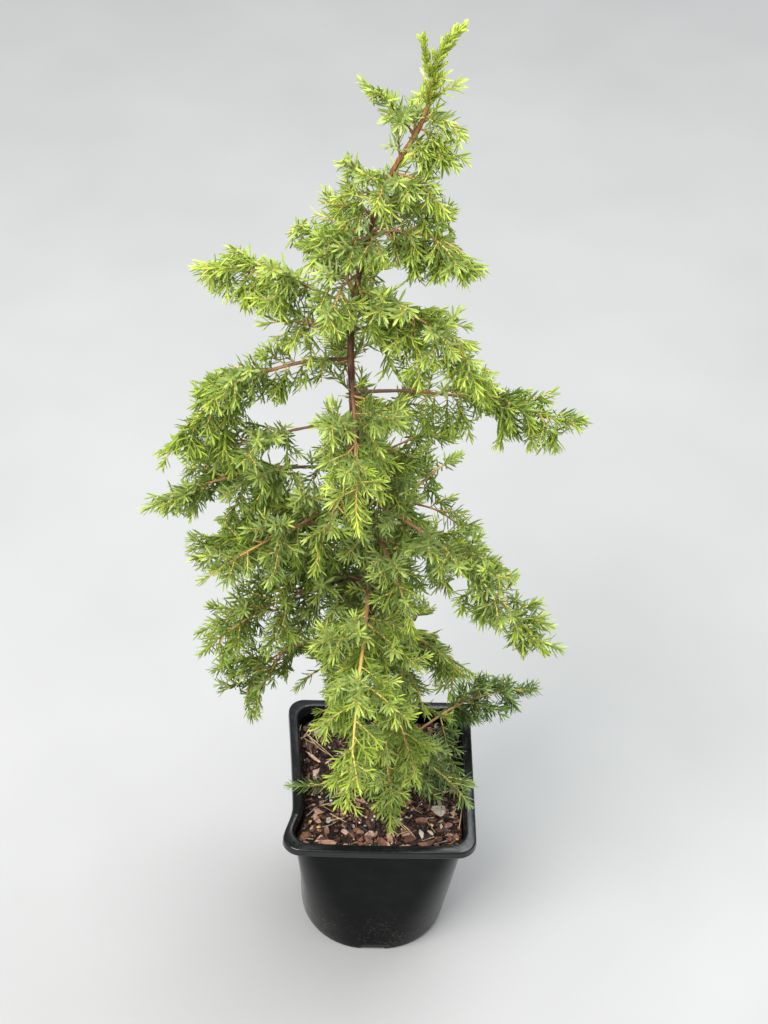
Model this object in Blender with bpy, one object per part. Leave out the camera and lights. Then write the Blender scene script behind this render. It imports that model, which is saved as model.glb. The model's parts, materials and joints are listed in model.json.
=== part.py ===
"""A young potted juniper: trunk, boughs and sprays of needles, in a square nursery pot of bark mix.

Metres, +Z up. The origin is the middle of the pot's underside, +X is the plant's right and -Y its front.
"""

import math
import random
from collections import namedtuple

import bmesh
import bpy
from mathutils import Matrix, Quaternion, Vector
from mathutils.bvhtree import BVHTree

MM = 0.001
GAP = 0.3 * MM  # between pieces that meet

# Pot
POT_HEIGHT = 150 * MM
RIM_WIDTH = 140 * MM
RIM_SKIRT = 6.5 * MM
RIM_PLASTIC = 1.4 * MM
RIM_FLAT = 6 * MM
BODY_TOP_WIDTH = 127 * MM
BASE_WIDTH = 112 * MM
RIM_CORNER = 13 * MM
BODY_TOP_CORNER = 13 * MM
BASE_CORNER = 50 * MM
WALL = 1.5 * MM
FLOOR = 2 * MM
BASE_EDGE = 2 * MM
RIM_EDGE = 1 * MM
WALL_HEIGHTS = (30 * MM, 65 * MM, 105 * MM)
LEFT_BOW = 6.5 * MM  # how far the left side is pushed in at the rim
BOW_PLACE = -0.44  # its deepest point along the side, from -1 at the front corner to 1 at the back
BOW_FADE_BACK = 1.25  # the power by which it fades to the back corner
BOW_REACH_FRONT = 0.45  # how far towards the front corner it reaches, on the same scale
FRONT_BULGE = 1.4 * MM
SIDE_SHARPNESS = 6  # keeps a dent or a bulge to its own side
DRAIN_WIDTH = 18 * MM  # a slot under the middle of each side
DRAIN_HEIGHT = 3 * MM
DRAIN_DEPTH = 5 * MM
SIDE_STEPS = 5
CORNER_STEPS = 5

# Potting mix
MIX_HEIGHT = 135 * MM
MIX_BUMP = 2.2 * MM
MIX_FLAT_RADIUS = 9 * MM  # level round the trunk's foot
MIX_RINGS = 5

# Trunk: the middle line as (height, right, back), which a smooth curve passes through
TRUNK_GUIDE = (
    (0.135, 0.003, 0.000),
    (0.250, -0.004, 0.004),
    (0.380, -0.018, 0.006),
    (0.515, -0.030, 0.003),
    (0.580, -0.032, 0.000),
    (0.640, -0.024, -0.002),
    (0.690, -0.012, 0.000),
    (0.735, 0.007, 0.003),
    (0.764, 0.018, 0.003),
)
PLANT_TOP = TRUNK_GUIDE[-1][0]
TRUNK_TOP = 0.732
TRUNK_FOOT_WIDTH = 9.7 * MM
TRUNK_TIP_WIDTH = 1.1 * MM
ROOT_FLARE = 2.6 * MM
ROOT_FLARE_HEIGHT = 9 * MM
ROOT_LOBES = 3
LOBE_DEPTH = 0.8
TRUNK_SIDES = 7
TRUNK_RING_STEP = 20 * MM

# Boughs, from the top down on each side. Height is where the bough leaves the trunk. Heading is
# seen from above, 0 to the right and 90 to the back; rise is the angle above level at the trunk.
# Droop and swing are how far it bends down and round by its tip. Limb is the bare share.
Bough = namedtuple("Bough", "side height heading length rise droop swing limb")
BOUGHS = (
    Bough("left", 0.714, 165, 0.038, 48, 28, 0, 0),
    Bough("left", 0.694, 150, 0.034, 62, 20, 0, 0),
    Bough("left", 0.674, 178, 0.032, 33, 25, 0, 0),
    Bough("left", 0.652, 190, 0.040, 42, 45, 0, 0),
    Bough("left", 0.622, 155, 0.060, 38, 80, -10, 0),
    Bough("left", 0.587, 172, 0.094, 30, 40, 0, 0.2),
    Bough("left", 0.567, 205, 0.066, 40, 35, -5, 0),
    Bough("left", 0.546, 195, 0.142, 18, 85, 10, 0.3),
    Bough("left", 0.498, 212, 0.116, 16, 35, -22, 0.3),
    Bough("left", 0.455, 193, 0.136, 18, 45, 0, 0.25),
    Bough("left", 0.430, 230, 0.128, 22, 40, -20, 0.25),
    Bough("left", 0.385, 188, 0.108, 25, 40, 0, 0),
    Bough("left", 0.355, 209, 0.125, 22, 55, 0, 0.2),
    Bough("left", 0.300, 185, 0.134, 8, 95, -10, 0.35),
    Bough("left", 0.240, 215, 0.060, 35, 70, 0, 0),
    Bough("right", 0.722, 340, 0.026, 50, 50, -5, 0),
    Bough("right", 0.704, 335, 0.036, 30, 65, -5, 0),
    Bough("right", 0.680, 320, 0.048, 28, 65, -5, 0),
    Bough("right", 0.640, 350, 0.072, 28, 80, -5, 0),
    Bough("right", 0.595, 325, 0.112, 22, 100, 25, 0),
    Bough("right", 0.570, 350, 0.070, 22, 20, 0, 0),
    Bough("right", 0.520, 351, 0.138, 14, 26, 0, 0.35),
    Bough("right", 0.493, 14, 0.058, 40, 70, -5, 0),
    Bough("right", 0.455, 22, 0.072, 40, 70, 0, 0),
    Bough("right", 0.430, 315, 0.166, 16, 52, 5, 0.3),
    Bough("right", 0.319, 320, 0.080, 20, 60, 10, 0),
    Bough("right", 0.175, 324, 0.095, 50, 70, -15, 0),
    Bough("right", 0.155, 36, 0.140, 47, 75, -15, 0.4),
    Bough("front", 0.672, 262, 0.040, 40, 50, 0, 0),
    Bough("front", 0.612, 250, 0.062, 35, 70, 0, 0),
    Bough("front", 0.530, 272, 0.120, 25, 65, 0, 0.15),
    Bough("front", 0.410, 290, 0.100, 30, 70, 0, 0),
    Bough("front", 0.350, 268, 0.195, 42, 100, -5, 0.25),
    Bough("front", 0.260, 285, 0.105, 40, 90, 10, 0),
    Bough("front", 0.185, 262, 0.065, 50, 80, 0, 0),
    Bough("back", 0.700, 80, 0.034, 40, 45, 0, 0),
    Bough("back", 0.655, 65, 0.044, 35, 40, 0, 0),
    Bough("back", 0.610, 105, 0.062, 35, 50, 0, 0),
    Bough("back", 0.560, 75, 0.082, 30, 55, 0, 0),
    Bough("back", 0.500, 95, 0.090, 28, 45, 0, 0),
    Bough("back", 0.440, 120, 0.115, 25, 40, 0, 0),
    Bough("back", 0.375, 55, 0.120, 30, 55, 0, 0),
    Bough("back", 0.300, 95, 0.120, 30, 60, 0, 0),
    Bough("back", 0.225, 135, 0.100, 35, 75, 0, 0),
)
PATH_STEPS = 24
LIMB_SIDES = 5
LIMB_RING_STEP = 14 * MM
LIMB_LEAST_WIDTH = 1.4 * MM  # at the trunk, and this share of its length besides
LIMB_THICKNESS = 0.018
LIMB_COLLAR = 1.3  # the swelling where it leaves the trunk

# Side shoots, where a bough's or the leader's stem has them
SHOOT_PITCH = 15 * MM
FIRST_SHOOT = 6 * MM  # from the stem's foot
LAST_SHOOT = 7 * MM  # from its tip
GOLDEN_TURN = 137.5  # round the stem, from each shoot to the next
SHOOT_ANGLE = 52
SHOOT_LEAST = 16 * MM  # its length, and this share of the stem beyond it besides
SHOOT_SHARE = 0.30
SHOOT_MOST = 48 * MM
SHOOT_SAG = 0.55

# A shoot: a three-sided core whose needles stand out in whorls of three, each whorl turned by 60
CORE_RADIUS = 1.35 * MM
CORE_TIP_RADIUS = 0.8 * MM
ROOT_RADIUS = 0.8 * MM
WHORL_PITCH = 9.2 * MM
TIP_SHARE = 0.35  # of a whorl's pitch, beyond the last whorl
NEEDLE_LENGTH = 12.5 * MM
NEEDLE_ANGLE = 52
FIRST_NEEDLES = 0.8  # of the length of the others
STEM_BARE = 4 * MM  # at a stem's foot
SHOOT_BARE = 5 * MM  # at a side shoot's foot

# Keeping clear: the turns and lengths tried, in order, for a shoot that would touch a neighbour
TRIALS = ((0, 1), (35, 1), (-35, 1), (0, 0.75), (180, 0.85))
KEEP_CLEAR = 0.4 * MM
STEM_TRIALS = 12
MOST_SKIPPED = 0.6  # of a shoot's needles

BARK = ((0.10, 0.055, 0.035, 1), 0.8)
YOUNG_BARK = ((0.30, 0.13, 0.05, 1), 0.7)
GREEN = ((0.16, 0.30, 0.05, 1), 0.6)
BLACK_PLASTIC = ((0.012, 0.012, 0.013, 1), 0.3)
BARK_MIX = ((0.055, 0.033, 0.022, 1), 0.95)


def clear_scene():
    for thing in list(bpy.data.objects):
        bpy.data.objects.remove(thing, do_unlink=True)


def material(name, look):
    colour, roughness = look
    made = bpy.data.materials.new(name)
    made.use_nodes = True
    shader = made.node_tree.nodes["Principled BSDF"]
    shader.inputs["Base Color"].default_value = colour
    shader.inputs["Roughness"].default_value = roughness
    made.diffuse_color = colour
    return made


def add_object(name, points, faces, look):
    mesh = bpy.data.meshes.new(name)
    mesh.from_pydata([tuple(p) for p in points], [], faces)
    built = bmesh.new()
    built.from_mesh(mesh)
    bmesh.ops.recalc_face_normals(built, faces=built.faces)
    bmesh.ops.triangulate(built, faces=built.faces)
    built.to_mesh(mesh)
    built.free()
    piece = bpy.data.objects.new(name, mesh)
    bpy.context.scene.collection.objects.link(piece)
    piece.data.materials.append(material(name, look))
    return piece


def bridge(rings):
    """Points and faces of a skin over rings of equal count, with the end rings filled."""
    count = len(rings[0])
    points = [p for ring in rings for p in ring]
    faces = []
    for row in range(len(rings) - 1):
        for i in range(count):
            j = (i + 1) % count
            a, b = row * count, (row + 1) * count
            faces += [(a + i, a + j, b + j), (a + i, b + j, b + i)]
    faces.append(tuple(reversed(range(count))))
    faces.append(tuple(range((len(rings) - 1) * count, len(rings) * count)))
    return points, faces


# ---- pot -------------------------------------------------------------------------------------


def square_loop(width, corner, height, bow=0.0):
    """A rounded square. bow, 0 to 1, is its share of the left side's dent and the front's bulge."""
    half = width / 2
    straight = half - corner
    points = []
    for quarter in range(4):
        turn = Matrix.Rotation(math.radians(90 * quarter), 3, "Z")
        for i in range(SIDE_STEPS):
            along = -straight + 2 * straight * i / SIDE_STEPS
            points.append(turn @ Vector((along, -half, 0)))
        for i in range(CORNER_STEPS):
            a = math.radians(-90 + 90 * i / CORNER_STEPS)
            bend = corner * Vector((math.cos(a), math.sin(a), 0))
            points.append(turn @ (Vector((straight, -straight, 0)) + bend))
    for p in points:
        leftness = max(0.0, -p.x / half) ** SIDE_SHARPNESS
        frontness = max(0.0, -p.y / half) ** SIDE_SHARPNESS
        bulge = max(0.0, 1 - (p.x / half) ** 2)
        p.x += bow * LEFT_BOW * dent(p.y / half) * leftness
        p.y -= bow * FRONT_BULGE * bulge * frontness
        p.z = height
    return points


def dent(place):
    """How deep the left side's dent is, from 0 to 1, at a place along it."""
    if place > BOW_PLACE:
        return max(0.0, 1 - ((place - BOW_PLACE) / (1 - BOW_PLACE)) ** BOW_FADE_BACK)
    return (1 + math.cos(math.pi * min(1.0, (BOW_PLACE - place) / BOW_REACH_FRONT))) / 2


def wall_loop(height, inset):
    """The pot's wall at a height, moved in from its outer face by inset."""
    share = height / (POT_HEIGHT - RIM_PLASTIC)
    width = BASE_WIDTH + (BODY_TOP_WIDTH - BASE_WIDTH) * share - 2 * inset
    corner = BASE_CORNER + (BODY_TOP_CORNER - BASE_CORNER) * share - inset
    return square_loop(width, max(corner, 4 * MM), height, share**1.5)


def make_pot():
    rim_top = RIM_WIDTH - 2 * RIM_EDGE
    skirt_inside = RIM_WIDTH - 2 * RIM_PLASTIC
    skirt_corner = RIM_CORNER - RIM_PLASTIC
    skirt_foot = POT_HEIGHT - RIM_SKIRT
    under_rim = POT_HEIGHT - RIM_PLASTIC
    outside = [square_loop(BASE_WIDTH - 2 * BASE_EDGE, BASE_CORNER - BASE_EDGE, 0)]
    outside += [wall_loop(z, 0) for z in (BASE_EDGE, *WALL_HEIGHTS, under_rim)]
    rim = [
        square_loop(skirt_inside, skirt_corner, under_rim, 1),
        square_loop(skirt_inside, skirt_corner, skirt_foot, 1),
        square_loop(RIM_WIDTH, RIM_CORNER, skirt_foot, 1),
        square_loop(RIM_WIDTH, RIM_CORNER, POT_HEIGHT - RIM_EDGE, 1),
        square_loop(rim_top, RIM_CORNER - RIM_EDGE, POT_HEIGHT, 1),
        square_loop(rim_top - 2 * RIM_FLAT, BODY_TOP_CORNER, POT_HEIGHT, 1),
    ]
    inside = [wall_loop(POT_HEIGHT - 2 * RIM_EDGE, WALL), wall_loop(MIX_HEIGHT, WALL)]
    inside += [wall_loop(z, WALL) for z in (*reversed(WALL_HEIGHTS), FLOOR)]
    pot = add_object("pot", *bridge(outside + rim + inside), BLACK_PLASTIC)
    for i in range(4):
        turn = Matrix.Rotation(math.radians(90 * i), 4, "Z")
        place = turn @ Matrix.Translation((0, -BASE_WIDTH / 2, 0))
        size = Matrix.Diagonal((DRAIN_WIDTH, 2 * DRAIN_DEPTH, 2 * DRAIN_HEIGHT, 1))
        bpy.ops.mesh.primitive_cube_add(size=1)
        cutter = bpy.context.object
        cutter.data.transform(place @ size)
        cutter.name = f"drain_cutter_{i + 1}"
        cutter.hide_render = True
        cutter.display_type = "WIRE"
        cut = pot.modifiers.new(f"drain_{i + 1}", "BOOLEAN")
        cut.operation = "DIFFERENCE"
        cut.object = cutter
    return pot


# ---- potting mix -----------------------------------------------------------------------------


def make_potting_mix(foot):
    """Fills the pot to MIX_HEIGHT, lumpy on top and level round the trunk's foot."""
    chance = random.Random("potting mix")
    inset = WALL + GAP
    rings = [wall_loop(z, inset) for z in (FLOOR + GAP, *WALL_HEIGHTS, MIX_HEIGHT)]
    edge = rings[-1]
    least = MIX_FLAT_RADIUS / edge[0].to_2d().length
    for row in range(1, MIX_RINGS + 1):
        share = 1 + (least - 1) * row / MIX_RINGS
        ring = [foot + (p - foot) * share for p in edge]
        for q in ring:
            q.z = MIX_HEIGHT + (chance.uniform(-1, 1) * MIX_BUMP if row < MIX_RINGS else 0)
        rings.append(ring)
    # From the top down, as the pot's inside is, so that their faces follow each other.
    return add_object("potting_mix", *bridge(rings[::-1]), BARK_MIX)


# ---- trunk and boughs ------------------------------------------------------------------------


def trunk_point(height):
    """The trunk's middle at a height, on a smooth curve through TRUNK_GUIDE."""
    last = len(TRUNK_GUIDE) - 1
    k = max(i for i in range(last) if TRUNK_GUIDE[i][0] <= height or i == 0)
    before, start, end, after = (TRUNK_GUIDE[min(max(i, 0), last)] for i in range(k - 1, k + 3))
    span = end[0] - start[0]
    t = (height - start[0]) / span
    place = []
    for axis in (1, 2):
        slope_in = (end[axis] - before[axis]) / (end[0] - before[0])
        slope_out = (after[axis] - start[axis]) / (after[0] - start[0])
        place.append(
            (2 * t**3 - 3 * t**2 + 1) * start[axis]
            + (t**3 - 2 * t**2 + t) * span * slope_in
            + (3 * t**2 - 2 * t**3) * end[axis]
            + (t**3 - t**2) * span * slope_out
        )
    return Vector((place[0], place[1], height))


def trunk_radius(height):
    share = (height - MIX_HEIGHT) / (PLANT_TOP - MIX_HEIGHT)
    width = TRUNK_TIP_WIDTH + (TRUNK_FOOT_WIDTH - TRUNK_TIP_WIDTH) * (1 - share)
    return width / 2


def ring_round(centre, along, radius, sides, first_angle=0.0, start=Vector((1, 0, 0))):
    """A ring of points round a direction; start gives the side that angle 0 lies on."""
    across = (start - along * start.dot(along)).normalized()
    other = along.cross(across)
    ring = []
    for i in range(sides):
        a = math.radians(first_angle + 360 * i / sides)
        ring.append(centre + radius * (math.cos(a) * across + math.sin(a) * other))
    return ring


def make_trunk():
    foot = MIX_HEIGHT + GAP
    heights = [foot, foot + ROOT_FLARE_HEIGHT / 3, foot + ROOT_FLARE_HEIGHT]
    rings_left = round((TRUNK_TOP - heights[-1]) / TRUNK_RING_STEP)
    step = (TRUNK_TOP - heights[-1]) / rings_left
    heights += [heights[-1] + step * (i + 1) for i in range(rings_left)]
    rings = []
    for height in heights:
        centre = trunk_point(height)
        flare = math.exp(-(height - foot) / (ROOT_FLARE_HEIGHT / 2))
        ring = []
        for i in range(TRUNK_SIDES):
            a = 2 * math.pi * i / TRUNK_SIDES
            lobe = (1 + LOBE_DEPTH * math.cos(ROOT_LOBES * a)) / (1 + LOBE_DEPTH)
            radius = trunk_radius(height) + ROOT_FLARE / 2 * flare * lobe
            ring.append(centre + radius * Vector((math.cos(a), math.sin(a), 0)))
        rings.append(ring)
    return add_object("trunk", *bridge(rings), BARK)


def bough_path(bough):
    """The bough's middle line from the trunk's axis to its tip, as points evenly spaced."""
    step = bough.length / PATH_STEPS
    point = trunk_point(bough.height)
    path = [point]
    for i in range(PATH_STEPS):
        t = (i + 0.5) / PATH_STEPS
        pitch = math.radians(bough.rise - bough.droop * t)
        heading = math.radians(bough.heading + bough.swing * t)
        level = math.cos(pitch)
        ahead = Vector((level * math.cos(heading), level * math.sin(heading), math.sin(pitch)))
        point = point + step * ahead
        path.append(point)
    return path


def walk(path, distance):
    """Point and direction at a distance along evenly spaced points."""
    step = (path[1] - path[0]).length
    k = min(int(distance / step), len(path) - 2)
    along = (path[k + 1] - path[k]).normalized()
    return path[k] + along * (distance - k * step), along


def limb_radius(bough, distance):
    foot = (LIMB_LEAST_WIDTH + LIMB_THICKNESS * bough.length) / 2
    return foot + (CORE_TIP_RADIUS - foot) * distance / bough.length


def clear_of_trunk(bough, radius):
    """How far along the bough a flat end of this radius clears the trunk by GAP."""
    rise = math.radians(bough.rise)
    return (trunk_radius(bough.height) + GAP + radius * math.sin(rise)) / math.cos(rise)


def make_limb(name, bough, path):
    start = clear_of_trunk(bough, LIMB_COLLAR * limb_radius(bough, 0))
    end = bough.length * bough.limb
    count = max(2, round((end - start) / LIMB_RING_STEP))
    rings = []
    for i in range(count + 1):
        distance = start + (end - start) * i / count
        centre, along = walk(path, distance)
        radius = limb_radius(bough, distance) * (LIMB_COLLAR if i == 0 else 1)
        rings.append(ring_round(centre, along, radius, LIMB_SIDES))
    return add_object(name, *bridge(rings), YOUNG_BARK)


# ---- foliage ---------------------------------------------------------------------------------


class Shoot:
    """A three-sided core along a path, alternate rings turned by 60, with a needle raised on each
    face that points forward, save those skipped."""

    def __init__(self, path, start, first_radius, bare=0.0):
        self.path = path
        self.first_radius = first_radius
        self.length = (path[1] - path[0]).length * (len(path) - 1)
        self.whorls = max(1, round((self.length - start) / WHORL_PITCH))
        self.start = start
        self.pitch = (self.length - start) / (self.whorls + TIP_SHARE)
        bare_whorls = sum(start + self.pitch * i < bare for i in range(self.whorls))
        self.skipped = {(i, k) for i in range(bare_whorls) for k in range(3)}
        self.build()

    def rings(self, grow):
        side = (self.path[1] - self.path[0]).orthogonal()
        for i in range(self.whorls + 1):
            distance = self.start + self.pitch * i
            centre, along = walk(self.path, distance)
            radius = CORE_RADIUS + (CORE_TIP_RADIUS - CORE_RADIUS) * distance / self.length
            radius = grow + (self.first_radius if i == 0 else radius)
            side = (side - along * side.dot(along)).normalized()
            yield from ring_round(centre, along, radius, 3, 60 * (i % 2), side)

    def needle_tip(self, points, whorl, face, grow):
        centre, along = walk(self.path, self.start + self.pitch * (whorl + 0.5))
        middle = sum((points[i] for i in face), Vector()) / 3
        outward = (middle - centre - along * (middle - centre).dot(along)).normalized()
        lean = math.radians(NEEDLE_ANGLE)
        size = grow + NEEDLE_LENGTH * (FIRST_NEEDLES if whorl == 0 else 1)
        return middle + size * (math.cos(lean) * along + math.sin(lean) * outward)

    def mesh(self, grow=0.0):
        """Points, faces and which needle each face is part of, fattened all round by grow."""
        points = list(self.rings(grow))
        faces, needles = [(2, 1, 0)], [None]
        tip = len(points)
        points.append(self.path[-1] + grow * (self.path[-1] - self.path[-2]).normalized())
        for i in range(self.whorls):
            for k in range(3):
                here, next_here = 3 * i + k, 3 * i + (k + 1) % 3
                ahead = 3 * (i + 1) + (k + i % 2) % 3
                next_ahead = 3 * (i + 1) + (k + 1 + i % 2) % 3
                faces.append((next_here, next_ahead, ahead))
                needles.append(None)
                face = (here, next_here, ahead)
                if (i, k) in self.skipped:
                    faces.append(face)
                    needles.append(None)
                    continue
                points.append(self.needle_tip(points, i, face, grow))
                faces += [(a, b, len(points) - 1) for a, b in zip(face, face[1:] + face[:1])]
                needles += [(i, k)] * 3
        last = 3 * self.whorls
        faces += [(last + k, last + (k + 1) % 3, tip) for k in range(3)]
        needles += [None] * 3
        return points, faces, needles

    def build(self):
        """Sets the mesh, a tree of its faces, and a fatter one that finds what comes too near."""
        self.points, self.faces, self.needles = self.mesh()
        self.tree = BVHTree.FromPolygons(self.points, self.faces)
        fat_points, fat_faces, _ = self.mesh(KEEP_CLEAR)
        self.probe = BVHTree.FromPolygons(fat_points, fat_faces)
        self.low, self.high = corners(fat_points)


class Block:
    """A pot, trunk or limb that shoots keep clear of."""

    def __init__(self, thing):
        points = [v.co.copy() for v in thing.data.vertices]
        self.tree = BVHTree.FromPolygons(points, [tuple(f.vertices) for f in thing.data.polygons])
        self.low, self.high = corners(points)


def corners(points):
    return [min(p[i] for p in points) for i in range(3)], [max(p[i] for p in points) for i in range(3)]


def near(one, other):
    return all(one.low[i] < other.high[i] and one.high[i] > other.low[i] for i in range(3))


def make_room(shoot, family, others):
    """Skips needles until the shoot touches nothing but its family's cores at its root. Returns
    False where its core would touch another mass or a block, or few needles would be left."""
    own = set(shoot.skipped)
    for other in others:
        if near(shoot, other):
            own |= {shoot.needles[i] for i, _ in shoot.probe.overlap(other.tree)}
    if None in own:
        return False
    theirs = []
    for sibling in family:
        if near(shoot, sibling):
            for i, j in shoot.tree.overlap(sibling.tree):
                if shoot.needles[i] is not None:
                    own.add(shoot.needles[i])
                elif sibling.needles[j] is not None:
                    theirs.append((sibling, sibling.needles[j]))
    if len(own) > MOST_SKIPPED * 3 * shoot.whorls:
        return False
    shoot.skipped = own
    for sibling, needle in theirs:
        sibling.skipped.add(needle)
    for one in {shoot} | {sibling for sibling, _ in theirs}:
        one.build()
    return True


def curved_path(origin, direction, length, sag):
    """Evenly spaced points that set out in a direction and bend down by sag."""
    steps = max(4, round(length / (3 * MM)))
    step = length / steps
    path = [origin]
    for i in range(steps):
        direction = (direction - Vector((0, 0, sag / steps))).normalized()
        path.append(path[-1] + direction * step)
    return path


def side_shoots(name, first, length):
    """Where each side shoot leaves the stem, and its roll, angle, length and sag, by a seeded rule."""
    chance = random.Random(name)
    roll = chance.uniform(0, 360)
    plan = []
    distance = first + FIRST_SHOOT
    while distance < length - LAST_SHOOT:
        reach = SHOOT_LEAST + SHOOT_SHARE * (length - distance)
        plan.append(
            (
                distance,
                roll + chance.uniform(-20, 20),
                SHOOT_ANGLE + chance.uniform(-8, 8),
                min(SHOOT_MOST, reach * chance.uniform(0.8, 1.15)),
                SHOOT_SAG * chance.uniform(0, 1),
            )
        )
        roll += GOLDEN_TURN
        distance += SHOOT_PITCH * chance.uniform(0.85, 1.15)
    return plan


def join_mass(name, shoots):
    """One solid from a mass's shoots, by one union."""
    stem, *others = [
        add_object(f"{name}_{i}", shoot.points, shoot.faces, GREEN) for i, shoot in enumerate(shoots)
    ]
    stem.name = name
    if not others:
        return
    group = bpy.data.collections.new(f"{name}_shoots")
    for thing in others:
        bpy.context.scene.collection.objects.unlink(thing)
        group.objects.link(thing)
    union = stem.modifiers.new("join", "BOOLEAN")
    union.operation = "UNION"
    union.operand_type = "COLLECTION"
    union.collection = group
    union.solver = "MANIFOLD"
    bpy.context.view_layer.objects.active = stem
    bpy.ops.object.modifier_apply(modifier=union.name)
    for thing in others:
        bpy.data.objects.remove(thing, do_unlink=True)
    bpy.data.collections.remove(group)


def stems_of_masses(blocks):
    """Makes the limbs, and lists each mass's name, path, start along it and radius there."""
    steps = 12
    rise = (PLANT_TOP - TRUNK_TOP) / steps
    leader = [trunk_point(TRUNK_TOP + rise * i) for i in range(steps + 1)]
    stems = [("foliage_leader", leader, GAP, trunk_radius(TRUNK_TOP))]
    counts = {}
    for bough in BOUGHS:
        counts[bough.side] = counts.get(bough.side, 0) + 1
        label = f"{bough.side}_{counts[bough.side]}"
        path = bough_path(bough)
        start = clear_of_trunk(bough, CORE_RADIUS)
        if bough.limb:
            blocks.append(Block(make_limb(f"bough_{label}", bough, path)))
            start = bough.length * bough.limb + GAP
        stems.append((f"foliage_{label}", path, start, CORE_RADIUS))
    return stems


def grow_stem(path, start, radius, others):
    """The mass's stem, moved out along its path in steps of GAP until it touches nothing."""
    for _ in range(STEM_TRIALS):
        stem = Shoot(path, start, radius, start + STEM_BARE)
        if make_room(stem, [], others):
            return stem
        start += GAP
    raise ValueError(f"no room for a stem at {tuple(path[0])}")


def grow_side_shoot(shoots, plan, others):
    """Adds a planned side shoot to a mass, at the first of TRIALS that finds room, or none."""
    distance, roll, angle, length, sag = plan
    origin, along = walk(shoots[0].path, distance)
    upward = (Vector((0, 0, 1)) - along * along.z).normalized()
    for turn, scale in TRIALS:
        outward = Quaternion(along, math.radians(roll + turn)) @ upward
        direction = math.cos(math.radians(angle)) * along + math.sin(math.radians(angle)) * outward
        shoot = Shoot(curved_path(origin, direction, length * scale, sag), 0, ROOT_RADIUS, SHOOT_BARE)
        if make_room(shoot, shoots, others):
            shoots.append(shoot)
            return


def main():
    clear_scene()
    foot = trunk_point(MIX_HEIGHT)
    blocks = [Block(thing) for thing in (make_pot(), make_potting_mix(foot), make_trunk())]
    masses = {}
    plans = {}
    for name, path, start, radius in stems_of_masses(blocks):
        stem = grow_stem(path, start, radius, blocks + [x for mass in masses.values() for x in mass])
        masses[name] = [stem]
        plans[name] = side_shoots(name, start, stem.length)
    for turn in range(max(map(len, plans.values()))):
        for name, plan in plans.items():
            if turn < len(plan):
                others = [x for other, mass in masses.items() if other != name for x in mass]
                grow_side_shoot(masses[name], plan[turn], blocks + others)
    for name, shoots in masses.items():
        join_mass(name, shoots)


main()
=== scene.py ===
"""The looks of the potted juniper: bark, twigs and needles, a glossy nursery pot and its bark mix.

Metres, +Z up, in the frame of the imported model. The origin is the middle of the pot's underside,
+X is the plant's right and -Y its front.
"""

import json
import random
from collections import namedtuple
from math import cos, exp, hypot, pi, radians, sin

import bmesh
import bpy
import numpy as np
from mathutils import Matrix, Quaternion, Vector, noise

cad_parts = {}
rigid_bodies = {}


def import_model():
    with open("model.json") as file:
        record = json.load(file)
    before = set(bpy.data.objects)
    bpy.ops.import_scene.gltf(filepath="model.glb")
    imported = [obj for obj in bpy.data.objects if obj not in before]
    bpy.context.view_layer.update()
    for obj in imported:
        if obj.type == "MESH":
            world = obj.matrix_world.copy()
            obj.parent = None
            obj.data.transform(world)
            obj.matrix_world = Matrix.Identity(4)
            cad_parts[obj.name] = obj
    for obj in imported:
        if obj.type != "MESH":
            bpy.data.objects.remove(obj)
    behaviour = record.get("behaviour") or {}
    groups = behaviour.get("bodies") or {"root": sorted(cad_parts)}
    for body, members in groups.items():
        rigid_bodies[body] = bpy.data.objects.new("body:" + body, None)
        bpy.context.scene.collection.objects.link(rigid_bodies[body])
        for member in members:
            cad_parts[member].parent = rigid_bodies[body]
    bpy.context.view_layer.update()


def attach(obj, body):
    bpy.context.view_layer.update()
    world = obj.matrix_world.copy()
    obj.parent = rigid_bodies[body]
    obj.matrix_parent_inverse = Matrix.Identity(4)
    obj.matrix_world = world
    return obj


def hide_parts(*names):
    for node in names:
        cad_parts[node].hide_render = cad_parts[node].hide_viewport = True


for thing in list(bpy.data.objects):
    bpy.data.objects.remove(thing, do_unlink=True)
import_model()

MM = 0.001
GAP = 0.3 * MM

# ---- sizes shared with the solids ----

POT_HEIGHT = 150 * MM
RIM_WIDTH = 140 * MM
RIM_SKIRT = 6.5 * MM
RIM_PLASTIC = 1.4 * MM
RIM_FLAT = 6 * MM
BODY_TOP_WIDTH = 127 * MM
BASE_WIDTH = 112 * MM
RIM_CORNER = 13 * MM
BODY_TOP_CORNER = 13 * MM
BASE_CORNER = 50 * MM
LEAST_CORNER = 4 * MM
WALL = 1.5 * MM
FLOOR = 2 * MM
BASE_EDGE = 2 * MM
RIM_EDGE = 1 * MM
LEFT_BOW = 6.5 * MM
BOW_PLACE = -0.44
BOW_FADE_BACK = 1.25
BOW_REACH_FRONT = 0.45
FRONT_BULGE = 1.4 * MM
SIDE_SHARPNESS = 6
DRAIN_WIDTH = 18 * MM
DRAIN_HEIGHT = 3 * MM
DRAIN_DEPTH = 5 * MM
MIX_HEIGHT = 135 * MM

# Height, right and back of the trunk's middle
TRUNK_GUIDE = (
    (0.135, 0.003, 0), (0.25, -0.004, 0.004), (0.38, -0.018, 0.006), (0.515, -0.03, 0.003),
    (0.58, -0.032, 0), (0.64, -0.024, -0.002), (0.672, -0.0165, 0), (0.69, -0.0085, 0.001),
    (0.704, -0.001, 0.003), (0.722, 0.0045, 0.003), (0.749, 0.0083, 0.003), (0.76, 0.013, 0.003),
    (0.769, 0.02, 0.003),
)
PLANT_TOP = TRUNK_GUIDE[-1][0]
TRUNK_TOP = 0.732
TRUNK_FOOT_WIDTH = 9.7 * MM
TRUNK_TIP_WIDTH = 1.1 * MM
ROOT_FLARE = 2.6 * MM
ROOT_FLARE_HEIGHT = 9 * MM
ROOT_LOBES = 3
LOBE_DEPTH = 0.8

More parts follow.
